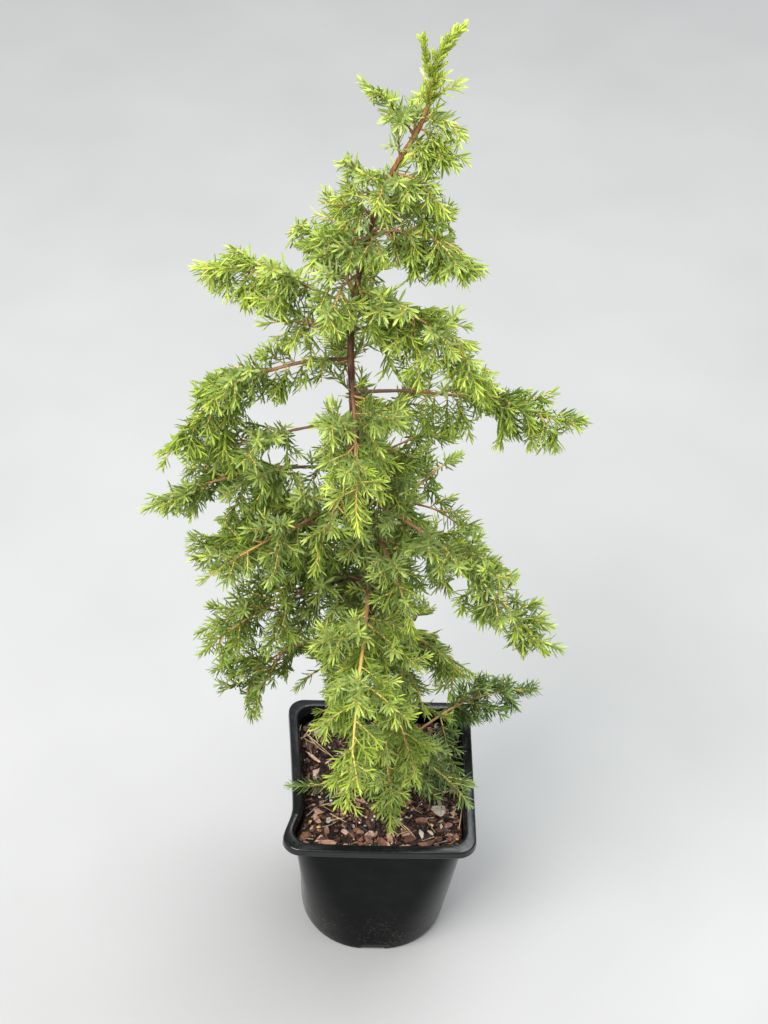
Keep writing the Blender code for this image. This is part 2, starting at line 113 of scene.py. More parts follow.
# Each side's boughs: height and heading on the trunk, length, rise, droop, swing and, of a main bough,
# the share of the length that is its limb. Heights and lengths are in mm, angles in degrees.
Bough = namedtuple("Bough", "height heading length rise droop swing limb", defaults=(0, 0))
BOUGHS = {
    "left": (
        (702, 163, 40, 54, 22), (689, 150, 18, 80, 0), (674, 178, 32, 33, 25), (652, 190, 35, 42, 45),
        (622, 155, 56, 38, 80, -10), (587, 172, 95, 30, 40, 0, 0.2), (567, 205, 61, 40, 35, -5),
        (546, 195, 142, 18, 85, 10, 0.3), (498, 212, 110, 16, 35, -22, 0.3),
        (455, 193, 139, 18, 45, 0, 0.25), (430, 230, 128, 22, 40, -20, 0.25), (385, 188, 116, 25, 40),
        (355, 209, 130, 22, 55, 0, 0.2), (300, 185, 130, 8, 95, -10, 0.35), (240, 215, 60, 35, 70),
    ),
    "right": (
        (712, 335, 24, 22, 50, -5), (700, 330, 30, 11, 50, -5), (680, 320, 43, 22, 65, -5),
        (640, 350, 72, 28, 80, -5), (595, 325, 112, 22, 100, 25), (570, 350, 70, 22, 20),
        (520, 351, 139, 14, 31, 0, 0.35), (493, 14, 58, 40, 70, -5), (455, 22, 72, 40, 70),
        (430, 315, 163, 16, 52, 5, 0.3), (319, 320, 80, 20, 60, 10), (172, 322, 96, 49, 68, -15),
        (155, 36, 140, 47, 75, -15, 0.4),
    ),
    "front": (
        (672, 262, 40, 40, 50), (612, 250, 62, 35, 70), (530, 272, 120, 25, 65, 0, 0.15),
        (410, 290, 100, 30, 70), (350, 268, 195, 42, 100, -5, 0.25), (260, 281, 105, 40, 90, 10),
        (185, 262, 65, 50, 80),
    ),
    "back": (
        (700, 80, 34, 40, 45), (655, 65, 44, 35, 40), (610, 105, 62, 35, 50), (560, 75, 82, 30, 55),
        (500, 95, 90, 28, 45), (440, 104, 80, 25, 40), (375, 55, 120, 30, 55), (300, 95, 120, 30, 60),
        (225, 135, 100, 35, 75),
    ),
}
# Smaller boughs that fill the crown out, which the solids leave to their neighbours
FILLERS = {
    "left": (
        (637, 215, 42, 25, 60), (405, 192, 114, 18, 50), (335, 193, 124, 22, 60, -5),
        (275, 200, 65, 30, 80), (215, 180, 50, 40, 80), (666, 205, 28, 30, 40), (158, 228, 77, 22, 40, -60),
    ),
    "right": (
        (660, 345, 40, 25, 50), (380, 345, 88, 25, 60), (285, 350, 75, 30, 80), (225, 345, 55, 40, 80),
        (434, 345, 86, 12, 60, 10), (707, 318, 17, 5, 40), (694, 310, 18, 5, 40),
    ),
    "front": (
        (640, 285, 34, 30, 60), (455, 250, 85, 20, 70), (310, 245, 80, 30, 90), (300, 300, 80, 35, 90),
        (360, 235, 55, 10, 50), (215, 274, 108, 42, 90),
    ),
    "back": (
        (470, 60, 80, 25, 60), (405, 85, 90, 25, 60), (335, 140, 90, 25, 60), (260, 60, 85, 30, 70),
        (640, 25, 42, 30, 40), (635, 150, 36, 30, 40),
    ),
}
PATH_STEPS = 24
LIMB_LEAST_WIDTH = 1.4 * MM
LIMB_THICKNESS = 0.018
LIMB_COLLAR = 1.3

SHOOT_PITCH = 15 * MM
FIRST_SHOOT = 6 * MM
LAST_SHOOT = 7 * MM
GOLDEN_TURN = 137.5
SHOOT_ANGLE = 52
SHOOT_LEAST = 16 * MM
SHOOT_SHARE = 0.30
SHOOT_MOST = 48 * MM
SHOOT_SAG = 0.55
CORE_RADIUS = 1.35 * MM
TRIALS = ((0, 1), (35, 1), (-35, 1), (0, 0.75), (180, 0.85), (90, 0.7), (-90, 0.7), (0, 0.5))

# ---- sizes of the finer growth ----

TWIG_SIDES = 5
TWIG_STEP = 2.5 * MM
TWIG_TIP_RADIUS = 0.32 * MM
BOUGH_SIDES = 10
BOUGH_STEP = 1.8 * MM
BOUGH_TIP_RADIUS = 0.42 * MM
WOBBLE = 1.1 * MM  # a bough's small bends
WOBBLE_SEED = 1795479913  # without one Blender's vector noise takes the clock's time

NEEDLE_LENGTH = 10.2 * MM
NEEDLE_WIDTH = 1.6 * MM
NEEDLE_DEPTH = 0.6 * MM
NEEDLE_ANGLE = 60
NEEDLE_TIP_ANGLE = 22
NEEDLE_CURVE = 0.07
WHORL_PITCH = 2.6 * MM
TIP_WHORL_PITCH = 1.5 * MM
TIP_ZONE = 9 * MM  # over which needles close up towards a shoot's end
MISSING = 0.05  # share of the needles
PIECE_NEEDLES = 18000

FINE_PITCH = 7.5 * MM  # twigs on side shoots
FINE_FIRST = 8 * MM
FINE_LEAST = 8 * MM
FINE_SHARE = 0.30
FINE_MOST = 15 * MM
SLIM_END = 45 * MM  # over which side shoots shorten towards a bough's end
SLIM_LEAST = 0.42
GREEN_STEM = 34 * MM  # of a bough's end, with needles of its own
LIMB_SHOOT_PITCH = 13 * MM
TRUNK_SHOOT_PITCH = 11 * MM
DRY_STUBS = 16
BARE_TRUNK = (0.478, 0.568)  # heights between which the trunk shows from the front
DENSE_TRUNK = 0.45  # the height below which the trunk's own shoots are longer and closer

# Where the crown shows gaps and ends, seen from EYE, and as they cross the upright plane through the
# trunk's foot: right, height, half the width and half the height, in mm
EYE = Vector((-0.0459, -0.8491, 1.2558))
GAPS = MM * np.array(
    (
        (-16, 742, 16, 8), (-4, 737, 3, 5), (-35, 722, 7, 8), (-31, 714, 8, 9), (-22, 704, 5, 4),
        (-25, 688, 6, 4), (-47, 693, 6, 4), (-51, 682, 6, 8), (-62, 665, 7, 10), (-58, 656, 6, 6),
        (-76, 656, 12, 13), (-74, 645, 6, 6), (-79, 633, 9, 9), (-85, 629, 6, 5), (-67, 621, 6, 6),
        (-98, 637, 11, 7), (-122, 625, 8, 6), (-125, 596, 7, 6), (-95, 570, 22, 7), (-113, 548, 9, 9),
        (-55, 556, 5, 3), (-44, 525, 6, 6), (-146, 516, 17, 16), (-154, 488, 12, 16), (-156, 444, 11, 10),
        (-144, 458, 8, 8), (-139, 407, 6, 5), (-114, 422, 4, 4), (-122, 405, 9, 5), (-154, 402, 13, 10),
        (-58, 514, 10, 8), (-36, 512, 5, 5), (-84, 504, 9, 6), (-71, 504, 10, 5), (-56, 484, 6, 7),
        (-78, 468, 8, 5), (-18, 548, 5, 6), (-10, 610, 7, 5), (12, 597, 20, 6), (36, 645, 11, 19),
        (27, 670, 6, 7), (45, 628, 5, 6), (38, 573, 8, 7), (58, 562, 12, 21), (-6, 684, 4, 4),
        (78, 540, 19, 10), (106, 521, 8, 6), (106, 486, 7, 5), (71, 479, 6, 5), (53, 494, 6, 11),
        (11, 514, 5, 5), (-2, 484, 4, 4), (38, 470, 12, 12), (39, 452, 11, 9), (66, 426, 8, 8),
        (18, 427, 4, 4), (34, 413, 5, 4), (81, 384, 9, 11), (94, 359, 9, 13), (47, 356, 5, 6),
        (32, 336, 5, 6), (78, 279, 15, 12), (67, 298, 6, 5), (103, 279, 7, 8), (29, 318, 12, 8),
        (41, 303, 5, 6), (54, 296, 8, 20), (63, 273, 4, 5), (-56, 250, 12, 13), (-54, 225, 12, 15),
        (-76, 232, 9, 24), (-110, 229, 10, 13), (-57, 272, 8, 6), (-136, 345, 7, 9), (-125, 354, 9, 6),
        (35, 231, 9, 9), (34, 211, 8, 10), (75, 174, 7, 32), (94, 207, 8, 7), (-10, 525, 10, 5),
    )
)
GAP_ROOM = 2.5 * MM  # that twigs keep from a gap
TRUNK_SHOWS = (BARE_TRUNK, (0.632, 0.712))  # heights where nothing grows across it in front
TRUNK_ROOM = 3.5 * MM

# ---- colours ----

GREENS = (
    (0.050, 0.083, 0.012),
    (0.090, 0.146, 0.018),
    (0.145, 0.224, 0.027),
    (0.218, 0.310, 0.036),
    (0.305, 0.400, 0.044),
    (0.405, 0.505, 0.055),
    (0.540, 0.640, 0.110),
)
BLOOM = (0.54, 0.66, 0.27)  # the whitish upper face
BLUISH = ((0.080, 0.142, 0.026), (0.142, 0.235, 0.052), (0.228, 0.345, 0.100), (0.340, 0.460, 0.170))
GLAUCOUS = 5.4  # places above the greens at which a spray takes the bluish ones, near the pot
BLOOM_SHARE = (0.20, 0.27, 0.32, 0.34, 0.30, 0.22, 0.16, 0.20, 0.25, 0.30, 0.30)
WOODS = (
    (0.075, 0.036, 0.029),
    (0.140, 0.068, 0.045),
    (0.270, 0.135, 0.070),
    (0.420, 0.230, 0.095),
    (0.580, 0.360, 0.110),
    (0.600, 0.470, 0.120),
    (0.400, 0.450, 0.090),
)


def unit(v):
    return v / np.linalg.norm(v, axis=-1, keepdims=True)


def plain(name, colour, roughness, shine):
    made = bpy.data.materials.new(name)
    made.use_nodes = True
    sockets = made.node_tree.nodes["Principled BSDF"].inputs
    sockets["Base Color"].default_value = made.diffuse_color = (*colour, 1)
    sockets["Roughness"].default_value = roughness
    sockets["Specular IOR Level"].default_value = shine
    return made


def place_object(name, data):
    made = bpy.data.objects.new(name, data)
    bpy.context.scene.collection.objects.link(made)
    return made


class Pile:
    """Triangle meshes gathered into one piece. Looks are places in the piece's list of materials."""

    def __init__(self):
        self.points, self.faces, self.looks, self.count = [], [], [], 0

    def add(self, points, faces, looks=0):
        self.points.append(np.asarray(points, float))
        self.faces.append(np.asarray(faces) + self.count)
        self.looks.append(np.broadcast_to(looks, len(faces)))
        self.count += len(points)

    def make(self, name, materials, slot, smooth=False, replaces=()):
        mesh = bpy.data.meshes.new(name)
        points, faces = np.concatenate(self.points).tolist(), np.concatenate(self.faces).tolist()
        mesh.from_pydata(points, [], faces, shade_flat=not smooth)
        mesh.polygons.foreach_set("material_index", np.concatenate(self.looks).astype(np.int32))
        for each in materials:
            mesh.materials.append(each)
        piece = place_object(name, mesh)
        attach(piece, "root")
        if replaces:
            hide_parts(*replaces)
        return piece


def skin(rings):
    """Points and triangles over rings of equal count, with the end rings filled round their middles."""
    rings = np.asarray(rings, float)
    rows, count = rings.shape[:2]
    i = np.arange(count)
    row, place = np.meshgrid(np.arange(rows - 1), i, indexing="ij")
    a, b = row * count + place, row * count + (place + 1) % count
    start, end = np.full(count, rows * count), np.full(count, rows * count + 1)
    last = (rows - 1) * count
    corners = (
        (a, b, b + count),
        (a, b + count, a + count),
        (start, (i + 1) % count, i),
        (end, last + i, last + (i + 1) % count),
    )
    faces = [np.stack(three, -1).reshape(-1, 3) for three in corners]
    points = [rings.reshape(-1, 3), [rings[0].mean(0), rings[-1].mean(0)]]
    return np.concatenate(points), np.concatenate(faces)


# ---- paths of trunk, boughs and shoots, by the rule of the solids ----


def trunk_point(height):
    """The trunk's middle at a height, on a smooth curve through TRUNK_GUIDE."""
    last = len(TRUNK_GUIDE) - 1
    k = max(i for i in range(last) if TRUNK_GUIDE[i][0] <= height or i == 0)
    before, start, end, after = (TRUNK_GUIDE[min(max(i, 0), last)] for i in range(k - 1, k + 3))
    span = end[0] - start[0]
    t = (height - start[0]) / span
    place = []
    for axis in (1, 2):
        slope_in = (end[axis] - before[axis]) / (end[0] - before[0])
        slope_out = (after[axis] - start[axis]) / (after[0] - start[0])
        place.append(
            (2 * t**3 - 3 * t**2 + 1) * start[axis]
            + (t**3 - 2 * t**2 + t) * span * slope_in
            + (3 * t**2 - 2 * t**3) * end[axis]
            + (t**3 - t**2) * span * slope_out
        )
    return Vector((*place, height))


def trunk_radius(height):
    share = (height - MIX_HEIGHT) / (PLANT_TOP - MIX_HEIGHT)
    return (TRUNK_TIP_WIDTH + (TRUNK_FOOT_WIDTH - TRUNK_TIP_WIDTH) * (1 - share)) / 2


def aimed(heading, rise):
    """The direction at a heading and a rise, in degrees."""
    a, b = radians(heading), radians(rise)
    return Vector((cos(b) * cos(a), cos(b) * sin(a), sin(b)))


def side_boughs(side):
    """The labels and boughs of a side, in metres, with its fillers last."""
    rows = enumerate(BOUGHS[side] + FILLERS[side], 1)
    return [(f"{side}_{k}", Bough(row[0] / 1000, row[1], row[2] / 1000, *row[3:])) for k, row in rows]


def bough_path(bough):
    """The bough's middle line from the trunk's axis to its tip, as points evenly spaced."""
    path = [trunk_point(bough.height)]
    for i in range(PATH_STEPS):
        t = (i + 0.5) / PATH_STEPS
        ahead = aimed(bough.heading + bough.swing * t, bough.rise - bough.droop * t)
        path.append(path[-1] + bough.length / PATH_STEPS * ahead)
    return path


def walk(path, distance):
    """Point and direction at a distance along evenly spaced points."""
    step = (path[1] - path[0]).length
    k = min(int(distance / step), len(path) - 2)
    along = (path[k + 1] - path[k]).normalized()
    return path[k] + along * (distance - k * step), along


def curved_path(origin, direction, length, sag):
    """Evenly spaced points that set out in a direction and bend down by sag."""
    steps = max(4, round(length / (3 * MM)))
    path = [origin]
    for i in range(steps):
        direction = (direction - Vector((0, 0, sag / steps))).normalized()
        path.append(path[-1] + direction * (length / steps))
    return path


def side_shoots(name, first, length):
    """Where each side shoot leaves the stem, and its roll, angle, length and sag, by a seeded rule."""
    chance = random.Random(name)
    roll = chance.uniform(0, 360)
    plan = []
    distance = first + FIRST_SHOOT
    while distance < length - LAST_SHOOT:
        reach = SHOOT_LEAST + SHOOT_SHARE * (length - distance)
        turn, angle = roll + chance.uniform(-20, 20), SHOOT_ANGLE + chance.uniform(-8, 8)
        reach = min(SHOOT_MOST, reach * chance.uniform(0.8, 1.15))
        plan.append((distance, turn, angle, reach, SHOOT_SAG * chance.uniform(0, 1)))
        roll += GOLDEN_TURN
        distance += SHOOT_PITCH * chance.uniform(0.85, 1.15)
    return plan


# ---- the pot ----

SIDE_STEPS = 24
CORNER_STEPS = 14
RIM_BEAD = 0.8 * MM
BEAD_OUT = 0.25 * MM
RIM_ROUND = 1.7 * MM
BOW_GROWTH = 1.5  # with which the dent and the bulge grow up the wall


def square_loop(width, corner, height, bow=0.0):
    """A rounded square. bow, 0 to 1, is its share of the left side's dent and the front's bulge."""
    half = width / 2
    straight = half - corner
    side = [(-straight + 2 * straight * i / SIDE_STEPS, -half) for i in range(SIDE_STEPS)]
    for i in range(CORNER_STEPS):
        a = radians(-90 + 90 * i / CORNER_STEPS)
        side.append((straight + corner * cos(a), corner * sin(a) - straight))
    points = []
    for quarter in range(4):
        for x, y in side:
            leftness = max(0.0, -x / half) ** SIDE_SHARPNESS
            frontness = max(0.0, -y / half) ** SIDE_SHARPNESS
            bulge = max(0.0, 1 - (x / half) ** 2)
            dented = x + bow * LEFT_BOW * dent(y / half) * leftness
            points.append((dented, y - bow * FRONT_BULGE * bulge * frontness, height))
        side = [(-y, x) for x, y in side]
    return np.array(points)


def dent(place):
    """How deep the left side's dent is, from 0 to 1, at a place along it."""
    if place > BOW_PLACE:
        return max(0.0, 1 - ((place - BOW_PLACE) / (1 - BOW_PLACE)) ** BOW_FADE_BACK)
    return (1 + cos(pi * min(1.0, (BOW_PLACE - place) / BOW_REACH_FRONT))) / 2


def wall_loop(height, inset):
    """The pot's wall at a height, moved in from its outer face by inset."""
    share = height / (POT_HEIGHT - RIM_PLASTIC)
    width = BASE_WIDTH + (BODY_TOP_WIDTH - BASE_WIDTH) * share - 2 * inset
    corner = BASE_CORNER + (BODY_TOP_CORNER - BASE_CORNER) * share - inset
    return square_loop(width, max(corner, LEAST_CORNER), height, share**BOW_GROWTH)


def arc(start, end, count):
    """Cosines and sines at even steps between two angles in degrees."""
    return [(cos(a), sin(a)) for a in np.radians(np.linspace(start, end, count))]


def make_pot():
    top, under_rim, skirt_foot = POT_HEIGHT, POT_HEIGHT - RIM_PLASTIC, POT_HEIGHT - RIM_SKIRT
    foot = [(BASE_WIDTH - 2 * BASE_EDGE * (1 - s), BASE_EDGE * (1 - c)) for c, s in arc(0, 90, 5)]
    walls = [wall_loop(z, 0) for z in np.linspace(BASE_EDGE, under_rim, 26)[1:]]
    bead = skirt_foot + RIM_BEAD
    bead_middle, bead_half = RIM_WIDTH - RIM_PLASTIC, RIM_PLASTIC + 2 * BEAD_OUT
    inner = RIM_WIDTH - 2 * RIM_EDGE - 2 * RIM_FLAT
    rim = [(RIM_WIDTH - 2 * RIM_PLASTIC, RIM_CORNER - RIM_PLASTIC, z) for z in (under_rim, bead)]
    rim += [(bead_middle + bead_half * c, RIM_CORNER, bead + RIM_BEAD * s) for c, s in arc(-180, 0, 7)]
    rim.append((RIM_WIDTH, RIM_CORNER, skirt_foot + 2.2 * RIM_BEAD))
    for c, s in arc(0, 90, 7):
        inset = RIM_ROUND * (1 - c)
        rim.append((RIM_WIDTH - 2 * inset, RIM_CORNER - inset, top - RIM_ROUND * (1 - s)))
    for c, s in arc(0, 90, 6):
        rim.append((inner + 2 * RIM_EDGE * (1 - s), BODY_TOP_CORNER, top - RIM_EDGE * (1 - c)))
    inside = [wall_loop(z, WALL) for z in np.linspace(top - 2.5 * RIM_EDGE, FLOOR, 20)]
    loops = [square_loop(width, BASE_CORNER, height) for width, height in foot] + walls
    loops += [square_loop(*row, 1) for row in rim] + inside
    points, faces = skin(loops)
    in_rim = points[faces][..., 2].min(1) > skirt_foot - 0.1 * MM
    out_of_body = np.abs(points[faces][..., :2]).max((1, 2)) > BODY_TOP_WIDTH / 2 - 0.6 * MM
    pot = Pile()
    pot.add(points, faces, (in_rim & out_of_body).astype(int))
    piece = pot.make("pot_shell", [glossy_plastic(), rim_plastic()], "pot", True, ["pot"])
    size = Matrix.Diagonal((DRAIN_WIDTH, 2 * DRAIN_DEPTH, 2 * DRAIN_HEIGHT, 1))
    for i in range(4):
        turn = Matrix.Rotation(radians(90 * i), 4, "Z")
        bpy.ops.mesh.primitive_cube_add(size=1)
        cutter = bpy.context.object
        cutter.data.transform(turn @ Matrix.Translation((0, -BASE_WIDTH / 2, 0)) @ size)
        cut = piece.modifiers.new("drain", "BOOLEAN")
        cut.operation = "DIFFERENCE"
        cut.object = cutter
        bpy.context.view_layer.objects.active = piece
        bpy.ops.object.modifier_apply(modifier=cut.name)
        bpy.data.objects.remove(cutter, do_unlink=True)


class Shading:
    """A material's nodes, made and joined by short calls."""

    def __init__(self, name, shine, roughness=0.5):
        self.material = plain(name, (0.5, 0.5, 0.5), roughness, shine)
        self.tree = self.material.node_tree
        self.place = self.node("TexCoord").outputs["Object"]

    def node(self, kind, inputs=(), **settings):
        """A new node. Its inputs take values or other nodes' outputs."""
        made = self.tree.nodes.new("ShaderNode" + kind)
        for key, value in settings.items():
            setattr(made, key, value)
        for key, value in dict(inputs).items():
            socket = made.inputs[key]
            if isinstance(value, bpy.types.NodeSocket):
                self.tree.links.new(value, socket)
            else:
                socket.default_value = (*value, 1) if socket.type == "RGBA" else value
        return made

    def noise(self, scale, detail=3, roughness=0.55, place=None):
        inputs = {"Vector": place or self.place, "Scale": scale, "Detail": detail, "Roughness": roughness}
        return self.node("TexNoise", inputs).outputs["Fac"]

    def flattened(self, share):
        """Places with their heights scaled, for grain that runs along a stem."""
        return self.node("Mapping", {"Vector": self.place, "Scale": (1, 1, share)}).outputs[0]

    def spread(self, value, low, high, start=0.0, end=1.0):
        inputs = {"Value": value, "From Min": low, "From Max": high, "To Min": start, "To Max": end}
        return self.node("MapRange", inputs).outputs["Result"]

    def height(self, low, high):
        """0 at a height and below, 1 at another and above."""
        return self.spread(self.node("SeparateXYZ", {"Vector": self.place}).outputs["Z"], low, high)

    def math(self, operation, a, b):
        return self.node("Math", {0: a, 1: b}, operation=operation, use_clamp=True).outputs[0]

    def ramp(self, value, *stops):
        made = self.node("ValToRGB", {"Fac": value})
        stops_made = made.color_ramp.elements
        while len(stops_made) < len(stops):
            stops_made.new(0.5)
        for stop, (place, colour) in zip(stops_made, stops):
            stop.position = place
            stop.color = (*colour, 1)
        return made.outputs["Color"]

    def mix(self, factor, a, b, how="MIX"):
        return self.node("Mix", {0: factor, 6: a, 7: b}, data_type="RGBA", blend_type=how).outputs[2]

    def bump(self, height, strength, distance, under=None):
        inputs = {"Height": height, "Strength": strength, "Distance": distance}
        if under is not None:
            inputs["Normal"] = under
        return self.node("Bump", inputs).outputs["Normal"]

    def finish(self, **links):
        sockets = self.tree.nodes["Principled BSDF"].inputs
        for name, value in links.items():
            self.tree.links.new(value, sockets[name.replace("_", " ")])
        return self.material


def plastic_grain(look, scale, strength, distance):
    """A fine grain over shallow waves."""
    waves = look.bump(look.noise(scale, 2), strength, distance)
    return look.bump(look.noise(1400, 2), 0.05, 0.15 * MM, waves)


def rim_plastic():
    look = Shading("rim_black_plastic", 0.42)
    colour = look.ramp(look.noise(60, 3), (0.3, (0.0050, 0.0057, 0.0060)), (0.75, (0.0090, 0.0100, 0.0104)))
    film = look.spread(look.noise(120, 6, 0.65), 0.5, 0.85, 0.0, 0.07)
    colour = look.mix(film, colour, (0.165, 0.150, 0.125))
    roughness = look.spread(look.noise(240, 4), 0.3, 0.7, 0.12, 0.24)
    grain = plastic_grain(look, 30, 0.25, 1.0 * MM)
    return look.finish(Base_Color=colour, Roughness=roughness, Normal=grain)


def glossy_plastic():
    look = Shading("glossy_black_plastic", 0.06)
    body = look.ramp(look.noise(45, 2), (0.3, (0.0010, 0.0017, 0.0018)), (0.75, (0.0024, 0.0036, 0.0037)))
    rim = look.height(POT_HEIGHT - RIM_SKIRT - 1 * MM, POT_HEIGHT - RIM_SKIRT)
    colour = look.mix(rim, body, (0.0105, 0.0115, 0.0120))
    low = look.height(0.060, 0.004)
    speckle = look.spread(look.noise(420, 5, 0.7), 0.52, 0.72)
    patch = look.spread(look.noise(38, 3), 0.42, 0.62)
    dust = look.math("MULTIPLY", look.math("MULTIPLY", speckle, patch), low)
    film = look.spread(look.noise(90, 6, 0.65), 0.45, 0.85, 0.0, 0.03)
    dirt = look.math("ADD", dust, film)
    colour = look.mix(dirt, colour, (0.165, 0.140, 0.110))
    gloss = look.spread(look.noise(160, 4), 0.3, 0.7, 0.10, 0.18)
    satin = look.spread(look.noise(700, 3), 0.3, 0.7, 0.22, 0.32)
    roughness = look.node("Mix", {0: rim, 2: gloss, 3: satin}).outputs[0]
    roughness = look.math("ADD", roughness, look.math("MULTIPLY", dirt, 0.6))
    grain = plastic_grain(look, 22, 0.35, 1.2 * MM)
    return look.finish(Base_Color=colour, Roughness=roughness, Normal=grain)


# ---- the potting mix ----

BED_RINGS = 46
BED_COARSE = (2.4 * MM, 55)  # height and scale of the lumps
BED_FINE = (1.1 * MM, 210)
LEVEL_ROUND_FOOT = 12 * MM
CHIPS = 2300
CRUMBS = 2600
STRAWS = 150
GRITS = 26
BLACK, DARK, BROWN, RED, TAN, PINK, GREY, STRAW, YELLOW, WHITE = range(10)
MIX_TINTS = (
    ("chip_black", (0.011, 0.007, 0.006)),
    ("chip_dark", (0.036, 0.018, 0.012)),
    ("chip_brown", (0.105, 0.050, 0.030)),
    ("chip_red", (0.230, 0.105, 0.065)),
    ("chip_tan", (0.420, 0.250, 0.165)),
    ("chip_pink", (0.600, 0.400, 0.310)),
    ("chip_grey", (0.500, 0.450, 0.360)),
    ("straw", (0.620, 0.470, 0.260)),
    ("yellow", (0.800, 0.500, 0.130)),
    ("white", (0.800, 0.780, 0.720)),
)
CHIP_SHARES = (9, 9, 7, 4.5, 2.4, 1.3, 0.5)  # of the tints from BLACK to GREY
CRUMB_SHARES = (6, 9, 7, 3, 1.5, 0.8, 0.5)
# Bits that stand out in the mix: tint, right, back, length, width, thickness, yaw, tilt, curl
NOTED = (
    (RED, -54, -47.5, 11, 9, 2, 20, 12, 0.05), (TAN, -36, -55, 17, 8, 2, 5, 8, 0.06),
    (PINK, -25, -44, 10, 6, 1.6, -15, 10, 0.1), (TAN, -14, -44.5, 8, 5, 1.5, 30, 22, 0.05),
    (PINK, -6, -47, 13, 9, 2.2, 60, 28, 0.1), (RED, 2, -53.5, 13, 9, 2.4, -35, 30, 0.08),
    (TAN, 8, -50, 12, 8, 2, -50, 35, 0.08), (BROWN, 22, -50.5, 13, 8, 2, 25, 15, 0.05),
    (RED, 33, -55, 12, 6, 2, 5, 12, 0.05), (TAN, -46, -32, 11, 5, 1.4, -50, 20, 0.08),
    (PINK, -49.7, 24.1, 17, 4.2, 1.6, -38, 12, 0.04), (BROWN, -52, 33, 12, 7, 2, -60, 15, 0.05),
    (PINK, -26, -8, 12, 9, 1.6, 70, 22, 0.1), (RED, 56.9, -4.4, 15, 9, 1.8, 75, 20, 0.12),
    (RED, 32, -33, 14, 9, 2, 20, 16, 0.08), (BROWN, 44, -50, 10, 6, 1.8, 60, 20, 0.05),
    (GREY, 37.5, -44, 7, 4, 1.4, -20, 18, 0.05), (PINK, 15, -33, 8, 5, 1.4, 40, 18, 0.05),
    (YELLOW, -50.5, -36.5, 4.5, 3, 1.6, 60, 25, 0.05), (YELLOW, -45, -41, 5, 2.6, 1.4, 10, 20, 0.05),
    (YELLOW, 38.5, -38, 4.5, 3, 1.8, -10, 25, 0.05), (YELLOW, 57, -49.5, 3.6, 2.4, 1.4, 30, 20, 0.05),
    (GREY, 45.1, -23, 18, 14, 0.7, 40, 14, 0.16),
)
# Right, back, length, yaw
LONG_STRAWS = (
    (-44, 33, 34, -48), (-46.5, 36, 28, -52), (-55, 47, 16, 60), (-52, 50, 14, 75), (-57, 43, 13, 30),
    (-48, 44, 15, 105), (-53, 39, 12, 140), (-60, 48, 12, 80), (-35, -20, 16, 10), (-30, -32, 14, -30),
    (-31, -34, 12, 20), (48, -8, 16, 15), (46, -5, 12, -25), (22, -44, 14, -55), (60, -30, 22, 82),
    (10, -43, 10, -45),
)
WHITE_LUMPS = ((-41, 48, 4.6), (-40, 40, 3), (-35.5, -15.7, 2.6), (-44, -13, 2.2))  # right, back, size


def mix_level(x, y):
    """The mix's height at a place: lumpy, and level at the trunk's foot."""
    foot = trunk_point(MIX_HEIGHT)
    ease = min(1.0, hypot(x - foot.x, y - foot.y) / LEVEL_ROUND_FOOT)
    lumps = sum(size * noise.noise(Vector((x, y, 0.3)) * scale) for size, scale in (BED_COARSE, BED_FINE))
    return MIX_HEIGHT - 0.5 * MM + ease * lumps


def make_mix_bed():
    inset = WALL + GAP
    rings = [wall_loop(z, inset) for z in np.linspace(FLOOR + GAP, MIX_HEIGHT - 3 * MM, 8)]
    edge = wall_loop(MIX_HEIGHT, inset)
    foot = np.array(trunk_point(MIX_HEIGHT))
    for row in range(BED_RINGS):
        ring = foot + (edge - foot) * (1 - row / BED_RINGS)
        ring[:, 2] = [mix_level(x, y) for x, y, _ in ring]
        rings.append(ring)
    bed = Pile()
    bed.add(*skin(rings))
    # The bed's near-black tones are partly the damp mix's own dark colour and partly painted shade, standing
    # in for the shade in the gaps between the loose chips.
    look = Shading("damp_mix_and_painted_gap_shade", 0.35, 0.85)
    tones = (0.36, (0.006, 0.004, 0.003)), (0.50, (0.022, 0.012, 0.008)), (0.66, (0.060, 0.030, 0.018))
    colour = look.ramp(look.noise(260, 6, 0.7), *tones)
    rough = look.bump(look.noise(900, 5, 0.75), 0.8, 0.8 * MM, look.bump(look.noise(300, 4), 0.9, 1.5 * MM))
    looks = [look.finish(Base_Color=colour, Normal=rough)]
    bed.make("mix_bed", looks, "potting_mix", True, ["potting_mix"])


def mix_looks():
    """Materials of the loose bits: each tint with its own grain and mottling."""
    made = []
    for name, colour in MIX_TINTS:
        look = Shading("mix_" + name, 0.35)
        dark = tuple(0.45 * c for c in colour)
        pale = tuple(min(1.0, 1.35 * c + 0.01) for c in colour)
        tone = look.ramp(look.noise(520, 5, 0.7), (0.33, dark), (0.5, colour), (0.7, pale))
        grain = look.bump(look.noise(1500, 4, 0.7), 0.6, 0.25 * MM)
        made.append(look.finish(Base_Color=tone, Normal=grain))
    return made


def flake(chance, length, width, thickness, corners, curl):
    """A broken flake of bark: an angular outline, a bevelled edge and a slight curl. Its third value
    says which faces are its sides and underside; these are tinted darker than its top."""
    angles = np.array([2 * pi * (i + chance.uniform(-0.38, 0.38)) / corners for i in range(corners)])
    sizes = np.array([chance.uniform(0.62, 1.0) for _ in angles]) / 2
    rim = np.column_stack([length * sizes * np.cos(angles), width * sizes * np.sin(angles)])
    slant = chance.uniform(-0.35, 0.35)
    rings = []
    for share, z in ((0.9, -0.5), (1.0, -0.2), (0.93, 0.5), (0.5, 0.5 + chance.uniform(-0.15, 0.4))):
        flat = rim * share
        lift = curl * length * ((flat[:, 0] / (length / 2)) ** 2 - 0.4)
        rings.append(np.column_stack([flat[:, 0] + slant * z * thickness, flat[:, 1], z * thickness + lift]))
    points, faces = skin(rings)
    band = np.repeat(np.arange(3), corners)
    edge = np.concatenate([band < 2, band < 2, np.full(corners, True), np.full(corners, False)])
    return points, faces, edge


